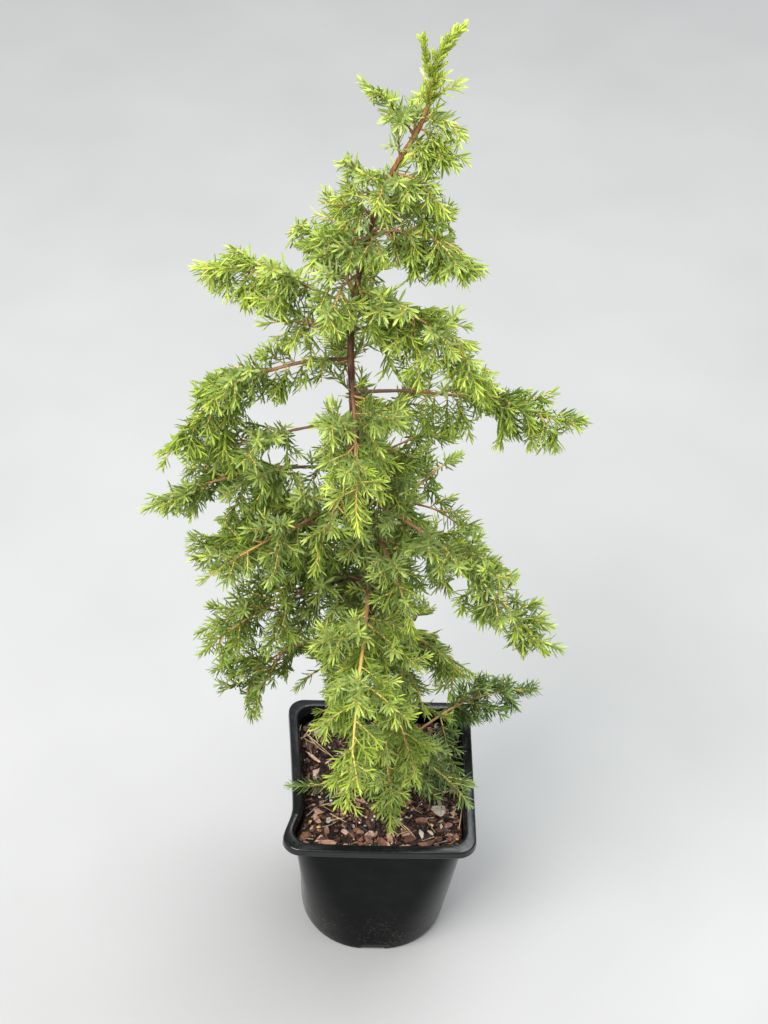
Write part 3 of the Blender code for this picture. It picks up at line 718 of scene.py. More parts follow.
def turned(points, yaw, tilt, tilt_way, place):
    turn = Matrix.Rotation(tilt, 3, Vector((cos(tilt_way), sin(tilt_way), 0)))
    turn = np.array(turn @ Matrix.Rotation(yaw, 3, "Z"))
    return points @ turn.T + np.array(place)


def spare_room(loop, x, y):
    """How far a place is inside the pot's wall; below 0 outside it."""
    a = loop[:, :2]
    b = np.roll(a, -1, axis=0)
    edge = b - a
    to_place = np.array([x, y]) - a
    t = np.clip((to_place * edge).sum(1) / (edge * edge).sum(1), 0, 1)
    near = np.linalg.norm(to_place - t[:, None] * edge, axis=1).min()
    crosses = (a[:, 1] > y) != (b[:, 1] > y)
    at = a[:, 0] + (y - a[:, 1]) / np.where(crosses, b[:, 1] - a[:, 1], 1) * edge[:, 0]
    return near if (crosses & (x < at)).sum() % 2 else -near


def lump(chance, size):
    """A small uneven lump."""
    made = bmesh.new()
    bmesh.ops.create_icosphere(made, subdivisions=1, radius=size / 2)
    points = np.array([v.co * chance.uniform(0.65, 1.15) for v in made.verts])
    faces = np.array([[v.index for v in f.verts] for f in made.faces])
    made.free()
    return points, faces


def add_straw(pile, chance, x, y, length, yaw, lift, radius, tint):
    """A dry stalk that lies over the mix, a little bent."""
    steps = 8
    bend = chance.uniform(-0.5, 0.5)
    start = np.array((x, y)) - length / 2 * np.array((cos(yaw), sin(yaw)))
    slope = chance.uniform(-0.12, 0.12)
    path = []
    for i in range(steps + 1):
        share = i / steps - 0.5
        height = mix_level(*start) * 0.4 + MIX_HEIGHT * 0.6 + lift + slope * length * share
        path.append((*start, height))
        a = yaw + bend * share
        start += length / steps * np.array((cos(a), sin(a)))
    radii = radius * np.interp(np.linspace(0, 1, steps + 1), (0, 0.1, 0.8, 1), (0.7, 1, 0.8, 0.35))
    pile.add(*tube(path, radii, 5), tint)


def make_loose_bits():
    chance = random.Random("loose bits")
    wall = wall_loop(MIX_HEIGHT, WALL)
    foot = trunk_point(MIX_HEIGHT)
    looks = mix_looks()

    def open_place(room):
        while True:
            x, y = chance.uniform(-64 * MM, 64 * MM), chance.uniform(-67 * MM, 64 * MM)
            if spare_room(wall, x, y) > room and hypot(x - foot.x, y - foot.y) > 6 * MM:
                return x, y

    chips = Pile()
    for i in range(CHIPS):
        length = MM * min(15.0, 2.6 + chance.expovariate(1 / 2.5))
        width = length * chance.uniform(0.35, 0.85)
        x, y = open_place(0.3 * length + 0.5 * MM)
        thickness = min(2.2 * MM, length * chance.uniform(0.12, 0.3))
        curl = chance.uniform(-0.05, 0.12)
        points, faces, edge = flake(chance, length, width, thickness, chance.randint(4, 6), curl)
        tilt = radians(min(65, abs(chance.gauss(0, 24))))
        z = mix_level(x, y) + chance.uniform(-0.3, 1.9) * MM * (0.4 + 0.6 * chance.random())
        points = turned(points, chance.uniform(0, 6.3), tilt, chance.uniform(0, 6.3), (x, y, z))
        tint = chance.choices(range(7), CHIP_SHARES)[0]
        chips.add(points, faces, np.where(edge, max(BLACK, min(RED, tint - 1)), tint))
    for tint, *sizes, yaw, tilt, curl in NOTED:
        x, y, length, width, thickness = (MM * size for size in sizes)
        points, faces, edge = flake(chance, length, width, thickness, chance.choice((5, 5, 6, 7)), curl)
        place = (x, y, mix_level(x, y) + 2.6 * MM)
        points = turned(points, radians(yaw), radians(tilt), radians(yaw + 80), place)
        chips.add(points, faces, np.where(edge, min(tint, RED), tint))
    chips.make("bark_chips", looks, "potting_mix")

    crumbs = Pile()
    for i in range(CRUMBS):
        size = MM * chance.uniform(0.5, 1.7)
        x, y = open_place(size)
        points, faces = lump(chance, size)
        z = mix_level(x, y) + chance.uniform(0.0, 1.2) * MM
        crumbs.add(points + np.array((x, y, z)), faces, chance.choices(range(7), CRUMB_SHARES)[0])
    for i in range(GRITS):
        size = MM * chance.uniform(0.9, 2.2)
        x, y = open_place(size)
        points, faces = lump(chance, size)
        crumbs.add(points + np.array((x, y, mix_level(x, y) + 1.8 * MM)), faces, WHITE)
    for right, back, size in WHITE_LUMPS:
        x, y = right * MM, back * MM
        points, faces = lump(chance, size * MM)
        crumbs.add(points * (1.3, 1, 0.8) + np.array((x, y, mix_level(x, y) + 2.5 * MM)), faces, WHITE)
    crumbs.make("mix_crumbs", looks, "potting_mix")

    straws = Pile()
    for right, back, length, yaw in LONG_STRAWS:
        place = (right * MM, back * MM, length * MM, radians(yaw))
        add_straw(straws, chance, *place, 3.4 * MM, 0.42 * MM, STRAW)
    for i in range(STRAWS):
        length = MM * chance.uniform(5, 12)
        x, y = open_place(length / 2)
        tint = chance.choice((BROWN, RED, TAN, TAN, GREY, STRAW))
        add_straw(straws, chance, x, y, length, chance.uniform(0, 6.3), 2.3 * MM, 0.26 * MM, tint)
    straws.make("mix_straws", looks, "potting_mix")


# ---- wood ----

TRUNK_SIDES = 40
TRUNK_STEP = 1.6 * MM
SINK = 2.5 * MM  # of the trunk's foot, into the loose mix
UPPER_SWELL = 0.55 * MM
SWELL_PLACE = (0.695, 0.026)  # height and reach
RIDGES = ((0.42 * MM, 2.6, 38, 0), (0.16 * MM, 7, 90, 9))  # size, scale across and up, and start


def frames(path):
    """Tangents of a path, and two directions across it that don't twist."""
    path = np.asarray(path, float)
    along = unit(np.gradient(path, axis=0))
    side = np.empty_like(path)
    across = np.cross(along[0], (0, 0, 1))
    if np.linalg.norm(across) < 0.05:
        across = np.array((1.0, 0, 0))
    for i, ahead in enumerate(along):
        across = unit(across - ahead * (across @ ahead))
        side[i] = across
    return along, side, np.cross(along, side)


def tube(path, radii, sides):
    """A closed tube round a path. radii are one for each point, or one for each point and side."""
    path = np.asarray(path, float)
    along, side, other = frames(path)
    a = np.linspace(0, 2 * np.pi, sides, endpoint=False)[None, :, None]
    radii = np.asarray(radii, float)
    radii = radii[:, :, None] if radii.ndim == 2 else radii[:, None, None]
    return skin(path[:, None] + radii * (np.cos(a) * side[:, None] + np.sin(a) * other[:, None]))


def shares_along(places, sides, faces):
    """How far along a tube each of its faces is, from its rings' places."""
    spot = np.concatenate([np.repeat(places, sides), [0, places[-1]]])
    return spot[faces].mean(1)


def columns_at(places, given, rows):
    return np.column_stack([np.interp(places, given, rows[:, k]) for k in range(3)])


def spaced(path, step):
    """The same path with points about a step apart, and how far along each is."""
    path = np.asarray(path, float)
    lengths = np.concatenate([[0], np.cumsum(np.linalg.norm(np.diff(path, axis=0), axis=1))])
    places = np.linspace(0, lengths[-1], max(3, round(lengths[-1] / step) + 1))
    return columns_at(places, lengths, path), places


def make_trunk():
    """The trunk with its flare, long ridges, and a swelling under each bough."""
    foot = MIX_HEIGHT + GAP
    boughs = [bough for side in BOUGHS for _, bough in side_boughs(side)]
    junctions = [(b.height, radians(b.heading), bough_radius(b, 0)) for b in boughs]
    rings = []
    for height in np.arange(foot - SINK, PLANT_TOP, TRUNK_STEP).tolist():
        centre = trunk_point(max(height, MIX_HEIGHT))
        centre.z = height
        flare = exp(-max(0, height - foot) / (ROOT_FLARE_HEIGHT / 2))
        old = min(1.0, max(0.25, (0.72 - height) / 0.25))
        upper = UPPER_SWELL * exp(-(((height - SWELL_PLACE[0]) / SWELL_PLACE[1]) ** 2))
        ring = []
        for i in range(TRUNK_SIDES):
            a = 2 * pi * i / TRUNK_SIDES
            out = Vector((cos(a), sin(a), 0))
            lobe = (1 + LOBE_DEPTH * cos(ROOT_LOBES * a)) / (1 + LOBE_DEPTH)
            radius = trunk_radius(height) + ROOT_FLARE / 2 * flare * lobe + upper
            for size, across, up, start in RIDGES:
                spot = Vector((out.x * across, out.y * across, height * up + start))
                radius += old * size * noise.noise(spot)
            for place, heading, size in junctions:
                near = exp(-(((height - place) / (2.2 * size)) ** 2))
                if near > 0.02:
                    radius += 0.55 * size * near * max(0.0, cos(a - heading)) ** 2
            ring.append(centre + radius * out)
        rings.append(ring)
    trunk = Pile()
    trunk.add(*skin(rings))
    trunk.make("trunk_bark", [trunk_look()], "bark", True, ["trunk"])


def trunk_look():
    look = Shading("juniper_bark", 0.3, 0.78)
    strips = look.noise(520, 5, 0.65, look.flattened(0.10))
    fibres = look.noise(1500, 4, 0.7, look.flattened(0.06))
    old = look.ramp(
        strips,
        (0.30, (0.030, 0.013, 0.011)),
        (0.45, (0.120, 0.051, 0.033)),
        (0.58, (0.232, 0.105, 0.060)),
        (0.74, (0.440, 0.275, 0.168)),
    )
    tones = (0.35, (0.300, 0.125, 0.036)), (0.55, (0.580, 0.280, 0.085)), (0.75, (0.74, 0.45, 0.20))
    young = look.ramp(strips, *tones)
    wander = look.spread(look.noise(70, 2), 0.3, 0.7, -0.15, 0.15)
    colour = look.mix(look.math("ADD", look.height(0.668, 0.702), wander), old, young)
    colour = look.mix(look.height(0.730, 0.752), colour, (0.300, 0.370, 0.070))
    shade = look.spread(fibres, 0.35, 0.6, 0.55, 1.0)
    grey = look.node("CombineColor", {"Red": shade, "Green": shade, "Blue": shade}).outputs["Color"]
    colour = look.mix(0.8, colour, grey, "MULTIPLY")
    relief = look.bump(fibres, 0.5, 0.3 * MM, look.bump(strips, 0.6, 0.6 * MM))
    return look.finish(Base_Color=colour, Normal=relief)


def wobbled(path, chance):
    """A bough's path with its small bends, none at its foot."""
    seed = chance.uniform(0, 99)
    made = []
    for i, p in enumerate(path):
        t = i / (len(path) - 1)
        made.append(p + noise.noise_vector(Vector((seed, t * 5.5, 0))) * WOBBLE * min(1, 4 * t))
    return made


def bough_radius(bough, distance):
    foot = (LIMB_LEAST_WIDTH + LIMB_THICKNESS * bough.length) * 0.34
    return foot + (BOUGH_TIP_RADIUS - foot) * (distance / bough.length) ** 0.8


def wood_looks(youth):
    """Places in WOODS."""
    return np.clip(youth, 0, len(WOODS) - 1.01).astype(int)


def add_bough(pile, bough, path, shoots, young, chance):
    """A limb with bark relief, a collar at the trunk and a swelling under each shoot."""
    points, places = spaced(path, BOUGH_STEP)
    radii = np.array([bough_radius(bough, d) for d in places])
    radii *= 1 + (LIMB_COLLAR - 1) * np.exp(-((places - trunk_radius(bough.height)) / (3 * MM)).clip(0))
    for distance in shoots:
        radii += 0.22 * MM * np.exp(-(((places - distance) / (1.6 * MM)) ** 2))
    seed = chance.uniform(0, 99)
    turns = np.linspace(0, 2 * pi, BOUGH_SIDES, endpoint=False)
    around = [(1.6 * cos(a) + seed, 1.6 * sin(a)) for a in turns]
    relief = np.array([[noise.noise(Vector((x, y, d * 130))) for x, y in around] for d in places])
    made, faces = tube(points, radii[:, None] * (1 + 0.16 * relief), BOUGH_SIDES)
    share = shares_along(places, BOUGH_SIDES, faces) / bough.length
    rng = np.random.default_rng(chance.getrandbits(32))
    youth = 0.9 + 3.9 * share**0.9 + 2.2 * max(0.0, (bough.height - 0.56) / 0.2)
    youth += young * np.minimum(1, 2.5 * share) + rng.uniform(-0.28, 0.28, len(faces))
    youth += [0.5 * noise.noise(Vector((spot, 0.5, 0.5))) for spot in share * 9 + seed]
    pile.add(made, faces, wood_looks(youth))


# ---- foliage ----


class Spray:
    """The twigs and needles of one mass, which grow on by the rule of its stem."""

    def __init__(self, name, twigs, tint, glaucous=False):
        self.chance = random.Random(name + " twigs")
        self.palette = (len(GREENS), len(GREENS) + len(BLUISH) - 1) if glaucous else (0, len(GREENS) - 1)
        self.rng = np.random.default_rng(self.chance.getrandbits(32))
        self.tint = tint
        self.twigs = twigs
        self.needles = []

    def twig(self, path, radius, youth, bare):
        """A twig with needles from bare on, and brighter ones towards its end."""
        points, places = spaced(path, TWIG_STEP)
        share = places / places[-1]
        radii = radius + (TWIG_TIP_RADIUS - radius) * share**0.7
        made, faces = tube(points, radii, TWIG_SIDES)
        age = youth + 2.4 * shares_along(share, TWIG_SIDES, faces) + self.rng.uniform(-0.3, 0.3, len(faces))
        self.twigs.add(made, faces, wood_looks(age))
        self.add_needles(points, places, radii, bare)

    def column(self, path, width, tip_width, wood, bare, size, spread, pitch):
        """A twig of one wood with short needles pressed to it. Returns its points."""
        points, places = spaced(path, 1.5 * MM)
        radii = np.linspace(width / 2, tip_width / 2, len(places))
        self.twigs.add(*tube(points, radii, TWIG_SIDES), wood)
        self.add_needles(points, places, radii, bare, size, spread, pitch=pitch)
        return [Vector(p) for p in points]

    def add_needles(self, points, places, radii, bare, size=1.0, spread=1.0, zone=TIP_ZONE, pitch=1.0):
        """Whorls of three needles from bare on, closer and more upright over the last zone."""
        length = places[-1]
        spots = []
        at = bare
        while at < length - 0.4 * MM:
            spots.append(at)
            closing = min(1.0, (length - at) / zone)
            gap = TIP_WHORL_PITCH + (WHORL_PITCH - TIP_WHORL_PITCH) * closing
            at += pitch * gap * self.rng.uniform(0.85, 1.15)
        if not spots:
            return
        spots = np.array(spots)
        centre, ahead, across = (columns_at(spots, places, rows) for rows in (points, *frames(points)[:2]))
        ahead = unit(ahead)
        across = unit(across - ahead * (across * ahead).sum(1, keepdims=True))
        around = np.cross(ahead, across)
        radius = np.interp(spots, places, radii)
        n = len(spots)
        turn = radians(60) * np.arange(n)[:, None] + radians(120) * np.arange(3)[None, :]
        turn = (turn + self.rng.uniform(0, 6.28) + self.rng.normal(0, 0.16, (n, 3)))[..., None]
        closing = np.clip((length - spots) / zone, 0, 1)
        lean = NEEDLE_TIP_ANGLE + (NEEDLE_ANGLE - NEEDLE_TIP_ANGLE) * closing**0.6
        lean = np.radians(spread * (lean[:, None] + self.rng.normal(0, 6, (n, 3))))[..., None]
        out = np.cos(turn) * across[:, None] + np.sin(turn) * around[:, None]
        heading = np.cos(lean) * ahead[:, None] + np.sin(lean) * out
        upper = np.sin(lean) * ahead[:, None] - np.cos(lean) * out
        reach = (0.58 + 0.42 * closing**0.7) * np.interp(spots, (bare, bare + 5 * MM), (0.8, 1))
        reach = (NEEDLE_LENGTH * size * reach[:, None] * self.rng.uniform(0.82, 1.1, (n, 3)))[..., None]
        foot = centre[:, None] + 0.6 * radius[:, None, None] * out
        fresh = 2.0 * (1 - closing) ** 1.5 + 0.7 * (spots / length)
        tint = self.tint + self.rng.normal(0, 0.35) + fresh[:, None] + self.rng.normal(0, 0.5, (n, 3))
        tint = np.clip(tint, *self.palette).astype(int)[..., None]
        tip = foot + reach * heading
        shows = in_gap(foot, 0) | ~in_gap(tip, 0)
        keep = (self.rng.random((n, 3)) > MISSING) & clear_of_pot(tip) & shows
        self.needles.append(np.concatenate([foot, heading, upper, reach, tint], -1)[keep])

    def side_twig(self, parent, plan, radius, youth, bare, finer=True):
        """A twig from a place on its parent's path, at the first of TRIALS that is clear."""
        distance, roll, angle, length, sag = plan
        origin, along = walk(parent, distance)
        upward = (Vector((0, 0, 1)) - along * along.z).normalized()
        for turn, scale in TRIALS:
            outward = Quaternion(along, radians(roll + turn)) @ upward
            a = radians(angle)
            path = curved_path(origin, cos(a) * along + sin(a) * outward, length * scale, sag)
            if clear_path(path):
                break
        else:
            return
        self.twig(path, radius, youth, bare)
        if finer and length * scale > 15 * MM:
            self.finer_twigs(path, length * scale, radius, youth)

    def finer_twigs(self, path, length, radius, youth):
        chance = self.chance
        roll = chance.uniform(0, 360)
        distance = FINE_FIRST * chance.uniform(0.8, 1.2)
        while distance < length - 5 * MM:
            reach = min(FINE_MOST, FINE_LEAST + FINE_SHARE * (length - distance))
            reach *= chance.uniform(0.75, 1.15)
            turn, angle, sag = roll + chance.uniform(-25, 25), chance.uniform(42, 60), chance.uniform(0, 0.3)
            plan = (distance, turn, angle, reach, sag)
            self.side_twig(path, plan, 0.75 * radius, youth + 1.2, 1.8 * MM, False)
            roll += GOLDEN_TURN
            distance += FINE_PITCH * chance.uniform(0.8, 1.2)


def clear_of_pot(points):
    """Whether each point is out of the mix, the pot's wall and its rim."""
    x, y, z = points[..., 0], points[..., 1], points[..., 2]
    square = np.maximum(np.abs(x), np.abs(y))
    in_mix = (square < 64 * MM) & (z < MIX_HEIGHT + 1.5 * MM)
    in_wall = (square >= 56 * MM) & (square < 71 * MM) & (z < POT_HEIGHT + 1 * MM)
    return ~(in_mix | in_wall)


def seen_at(points):
    """Where points are seen from EYE on the upright plane through the trunk's foot: right and height."""
    share = EYE.y / (EYE.y - points[..., 1])
    return EYE.x + (points[..., 0] - EYE.x) * share, EYE.z + (points[..., 2] - EYE.z) * share


def in_gap(points, room):
    """Whether each point is in a gap, or nearer to one than room."""
    right, height = seen_at(points)
    across = (right[..., None] - GAPS[:, 0]) / (GAPS[:, 2] + room)
    up = (height[..., None] - GAPS[:, 1]) / (GAPS[:, 3] + room)
    return (across**2 + up**2 < 1).any(-1)


def hides_trunk(path):
    """Whether a path runs across the trunk in front of it, where the trunk shows."""
    for p in path[3:]:
        if p.y < 0:
            right, height = seen_at(np.array(p))
            shows = any(low < height < high for low, high in TRUNK_SHOWS)
            if shows and abs(right - trunk_point(height).x) < TRUNK_ROOM:
                return True
    return False


def clear_path(path):
    spots = np.array(path)[1:]
    if not clear_of_pot(spots - np.array((0, 0, 2 * MM))).all() or in_gap(spots, GAP_ROOM).any():
        return False
    for p in path[2:]:
        beside = (p - trunk_point(max(p.z, MIX_HEIGHT))).to_2d().length
        if p.z < TRUNK_TOP and beside < trunk_radius(p.z) + 1 * MM:
            return False
    return not hides_trunk(path)


def needle_looks():
    made = []
    for place, (green, share) in enumerate(zip(GREENS + BLUISH, BLOOM_SHARE)):
        upper = tuple(g + (b - g) * share for g, b in zip(green, BLOOM))
        made.append(plain(f"needle_under_{place}", green, 0.45, 0.25))
        made.append(plain(f"needle_upper_{place}", upper, 0.55, 0.22))
    return made


def add_needle_meshes(pile, needles):
    """Each needle is a keeled blade: two edges and a keel through two rings, and a sharp tip."""
    foot, heading, upper = needles[:, 0:3], needles[:, 3:6], needles[:, 6:9]
    reach, tint = needles[:, 9:10], needles[:, 10]
    across = np.cross(heading, upper)
    scale = np.clip(reach / NEEDLE_LENGTH, 0.6, 1.1)
    rings = []
    for t, width, depth in ((0.0, 0.8, 0.7), (0.70, 1.0, 0.9)):
        centre = foot + heading * reach * t + upper * reach * NEEDLE_CURVE * t * t
        half = across * (NEEDLE_WIDTH / 2 * width) * scale
        rings += [centre + half, centre - half, centre - upper * (NEEDLE_DEPTH * depth) * scale]
    rings.append(foot + heading * reach + upper * reach * NEEDLE_CURVE)
    points = np.stack(rings, 1)
    faces, band = [(0, 1, 2)], [0]
    for a, b, upper_face in ((0, 1, 1), (1, 2, 0), (2, 0, 0)):
        faces += [(b, a, 3 + a), (b, 3 + a, 3 + b), (3 + b, 3 + a, 6)]
        band += [upper_face] * 3
    all_faces = (np.array(faces)[None] + 7 * np.arange(len(needles))[:, None, None]).reshape(-1, 3)
    looks = (2 * tint.astype(int)[:, None] + np.array(band)[None]).ravel()
    pile.add(points.reshape(-1, 3), all_faces, looks)


# How a bough's growth differs from the rest: its needles' tint, its wood's youth, the shoots between two
# planned ones, the shoots' length and how much more they hang
Habit = namedtuple("Habit", "tint youth between reach hang", defaults=(0, 0, 2, 1, 0))
HABITS = {
    "left_1": Habit(-0.1, 0, 5), "left_6": Habit(0.8, 0.6, 4, 1.2, 0.6), "left_7": Habit(0.5),
    "left_8": Habit(0, 1.2, 3, 1.1, 0.4), "left_9": Habit(0, 0, 2, 1, 0.3),
    "left_10": Habit(0, 0, 3, 1.1, 0.2), "left_12": Habit(0, 0, 3, 1.3),
    "left_14": Habit(-0.2, 0, 1, 1.25, 0.5), "left_15": Habit(-0.4), "right_1": Habit(-0.2, 0, 5),
    "right_2": Habit(-0.1, 0, 5), "right_3": Habit(0, 0, 3), "right_4": Habit(0, 0, 4, 1.15, 0.4),
    "right_5": Habit(0.4, 0, 3), "right_7": Habit(0, 0, 3, 1.25, 0.8), "right_10": Habit(0, 0.8, 3, 1.1),
    "right_11": Habit(0, 0, 3, 1.1), "right_12": Habit(GLAUCOUS, 1.6, 1, 1, 0.2),
    "right_13": Habit(GLAUCOUS, 1.2, 3, 0.95), "front_3": Habit(0.5), "front_5": Habit(0.9, 1.6),
    "front_6": Habit(0.7, 0.8), "front_7": Habit(-0.9, 0, 1), "back_5": Habit(0, 0, 1),
    "back_6": Habit(0, 0, 1), "back_9": Habit(-0.4), "left_22": Habit(GLAUCOUS + 1, 1.6, 0, 0.4),
    "front_13": Habit(0.7, 0.8),
}
FILLER_HABIT = Habit(between=1)
# Twigs that stand out: share of the bough's length in percent, direction, length in mm, sag in tenths
OWN_TWIGS = {
    "left_1": (
        (70, -50, -20, 70, 9, 1), (80, -70, -50, 30, 8, 1), (20, 35, -30, 80, 10, 1),
        (32, 10, -60, 60, 10, 1),
    ),
    "left_2": ((30, -50, -50, 70, 12, 1),),
    "left_3": ((40, -50, -60, -20, 9, 2), (55, -40, -30, 70, 10, 1), (75, -35, -40, 70, 9, 1),),
    "left_4": ((25, -10, -80, 10, 15, 3),),
    "left_5": ((75, -30, -40, 50, 14, 2), (50, -40, -60, -60, 19, 2),),
    "left_6": ((60, 5, -50, -80, 20, 2), (68, 0, -50, -80, 22, 2), (79, 0, -50, -80, 18, 2),),
    "left_7": ((45, -10, -60, -70, 22, 2),),
    "left_8": (
        (12, -10, -50, -80, 14, 2), (17, -20, 30, 80, 11, 1), (21, -10, -50, -80, 18, 2),
        (28, -10, -50, -80, 20, 2), (27, -80, 10, 40, 18, 1), (24, -60, 20, 60, 14, 1),
        (34, -50, 20, 80, 12, 1), (40, -40, 10, 90, 12, 1), (32, -10, -50, -80, 18, 2),
        (36, -20, -50, -80, 20, 2), (42, -20, -60, -70, 18, 2),
    ),
    "left_9": ((42, 5, -50, -85, 18, 1), (52, 0, -50, -85, 10, 1),),
    "left_10": ((22, 0, -30, 90, 12, 1),),
    "left_11": ((80, -90, -10, 30, 20, 3),),
    "left_13": ((65, -80, 20, 60, 22, 3), (30, -10, -70, -60, 22, 3), (88, 15, -50, -70, 18, 2),),
    "left_14": (
        (55, -10, -50, -80, 20, 2), (50, 5, -50, -80, 20, 2), (66, -90, -20, -10, 26, 3),
        (78, -90, -30, -10, 23, 3), (94, 25, -60, -60, 16, 2),
    ),
    "right_1": ((12, 35, -75, 45, 12, 2), (10, 50, 50, 60, 11, 2), (20, 45, -70, -30, 12, 3),),
    "right_2": (
        (6, 25, -90, 35, 13, 2), (6, 55, -80, -15, 13, 2), (10, 30, -85, 10, 14, 3),
        (20, 40, -60, -50, 15, 3), (35, 60, -50, -50, 14, 2),
    ),
    "right_4": (
        (20, 10, -60, -75, 18, 2), (35, 10, -60, -75, 22, 2), (55, 20, -60, -75, 22, 2),
        (75, 20, -55, -75, 16, 2),
    ),
    "right_5": ((52, 50, 30, 80, 17, 1),),
    "right_7": (
        (28, 10, 40, 80, 12, 2), (34, 10, 40, 80, 16, 2), (40, 0, -40, 80, 11, 2), (33, 0, -50, -80, 16, 2),
        (37, -15, -50, -80, 24, 2), (42, 0, -50, -80, 22, 2), (48, -10, -50, -80, 24, 2),
        (70, -25, -50, -75, 24, 2), (79, 0, -50, -80, 22, 2), (90, 5, -50, -80, 18, 2),
    ),
    "right_8": ((50, 30, -60, 30, 18, 3), (75, 30, -70, -20, 18, 3),),
    "right_10": (
        (38, 20, 40, 90, 12, 2), (55, 85, 10, 35, 18, 3), (88, 60, 30, 50, 13, 3),
        (62, -45, -50, -60, 24, 2), (80, 70, 10, 40, 18, 3), (72, 65, 30, 50, 15, 3),
        (84, -15, -50, -80, 20, 2),
    ),
    "right_18": ((80, 70, -30, 30, 14, 3),),
    "right_11": ((75, 0, -50, -80, 18, 2), (90, -10, -50, -80, 20, 2),),
    "right_13": (
        (90, 90, 0, 10, 16, 2), (66, -5, 30, 90, 20, 0), (42, 22, -85, -45, 52, -2),
        (50, 0, -55, -80, 13, 1), (62, 2, -50, -85, 17, 1), (72, 2, -50, -85, 19, 1),
        (80, 60, -30, -60, 19, 1), (70, 0, 30, 90, 22, 0), (80, 15, 30, 90, 13, 0),
        (56, -10, 30, 90, 13, 0),
    ),
}


def grow_plant():
    noise.seed_set(WOBBLE_SEED)
    woods = [plain(f"wood_{i}", colour, 0.6, 0.35) for i, colour in enumerate(WOODS)]
    greens = needle_looks()
    make_trunk()
    for side in BOUGHS:
        boughs, twigs, limbs, sprays = Pile(), Pile(), [], []
        for label, bough in side_boughs(side):
            filler = len(sprays) >= len(BOUGHS[side])
            chance = random.Random("bough " + label)
            path = wobbled(bough_path(bough), chance)
            rise = radians(bough.rise)
            start = (trunk_radius(bough.height) + GAP + CORE_RADIUS * sin(rise)) / cos(rise)
            if bough.limb:
                limbs.append(f"bough_{label}")
                start = bough.length * bough.limb + GAP
            name = f"foliage_{label}"
            habit = HABITS.get(label, FILLER_HABIT if filler else Habit())
            tint = 2.0 + 1.0 * (bough.height - 0.3) / 0.45 + habit.tint
            spray = Spray(name, twigs, tint, habit.tint >= GLAUCOUS)
            youth = 3.0 + 1.2 * max(0, (bough.height - 0.5) / 0.25) + habit.youth
            plans = side_shoots(name, start, bough.length)
            grow_mass(spray, bough, path, start, plans, youth, habit)
            grow_own_twigs(spray, bough, path, OWN_TWIGS.get(label, ()), youth + 0.8)
            if bough.limb:
                grow_limb_shoots(spray, path, start, youth, habit)
            add_bough(boughs, bough, path, [p[0] for p in plans], habit.youth, chance)
            sprays.append((None if filler else name, spray))
        boughs.make(f"boughs_{side}", woods, "young_bark", True, limbs)
        make_foliage(side, twigs, sprays, woods, greens)
    twigs = Pile()
    leader = Spray("foliage_leader", twigs, 4.5)
    grow_leader(leader)
    trunk_spray = Spray("trunk shoots", twigs, 1.4)
    grow_trunk_shoots(trunk_spray)
    grow_dry_stubs(trunk_spray)
    make_foliage("top", twigs, [("foliage_leader", leader), (None, trunk_spray)], woods, greens)


def make_foliage(side, twigs, sprays, woods, greens):
    """One piece of twigs, and needles in as many pieces as PIECE_NEEDLES asks for."""
    twigs.make(f"twigs_{side}", woods, "young_bark", True)
    part, names, batch, count = 1, [], [], 0
    for name, spray in sprays + [(None, None)]:
        more = sum(map(len, spray.needles)) if spray else 0
        if batch and (spray is None or count + more > PIECE_NEEDLES):
            needles = Pile()
            add_needle_meshes(needles, np.concatenate(batch))
            needles.make(f"needles_{side}_{part}", greens, "needles", False, names)
            part, names, batch, count = part + 1, [], [], 0
        if spray:
            batch += spray.needles
            count += more
            names += [name] if name else []


def grow_mass(spray, bough, path, start, plans, youth, habit):
    """A bough's foliage: needles on its stem, its planned shoots, and small ones between them."""
    chance = spray.chance
    points, places = spaced(path, TWIG_STEP)
    radii = np.array([bough_radius(bough, d) for d in places])
    bare = max(min(start, 5 * MM) + 2 * MM, bough.length - GREEN_STEM)
    bare_foot = min(6.5 * MM, 0.1 * bough.length)
    spray.add_needles(points, places, radii, bare, zone=3 * TIP_ZONE)
    for distance, roll, angle, length, sag in plans:
        younger = youth + distance / bough.length
        slim = SLIM_LEAST + (1 - SLIM_LEAST) * min(1, (bough.length - distance) / SLIM_END)
        length *= slim * habit.reach
        sag += habit.hang
        radius = 0.40 * MM + 0.011 * length
        spray.side_twig(path, (distance, roll, angle, length, sag + 0.2), radius, younger, bare_foot)
        for k in range(habit.between):
            spot = distance + SHOOT_PITCH * ((k + 1) / (habit.between + 1) + chance.uniform(-0.1, 0.1))
            if spot < bough.length - 5 * MM:
                shorter = max(7 * MM, length * chance.uniform(0.5, 0.9))
                plan = (spot, roll + 100 + 110 * k + chance.uniform(-50, 50), angle, shorter, sag + 0.3)
                spray.side_twig(path, plan, 0.5 * MM, younger + 0.6, 3.2 * MM)


def grow_own_twigs(spray, bough, path, rows, youth):
    for share, *way, length, sag in rows:
        length *= MM
        foot = walk(path, share / 100 * bough.length)[0]
        own = curved_path(foot, Vector(way).normalized(), length, sag / 10)
        spray.twig(own, 0.6 * MM, youth, 0.15 * length)
        spray.finer_twigs(own, length, 0.5 * MM, youth)


def grow_limb_shoots(spray, path, end, youth, habit):
    """A few small shoots to both sides of a main bough's limb."""
    chance = spray.chance
    distance = 14 * MM
    while distance < end - 2 * MM:
        roll = chance.choice((0, 180)) + chance.uniform(-70, 70)
        reach = chance.uniform(8, 19) * MM * habit.reach**2
        plan = (distance, roll, chance.uniform(45, 75), reach, chance.uniform(0, 0.5) + habit.hang)
        spray.side_twig(path, plan, 0.5 * MM, youth + 0.3, 3 * MM, False)
        distance += LIMB_SHOOT_PITCH * chance.uniform(0.7, 1.3)


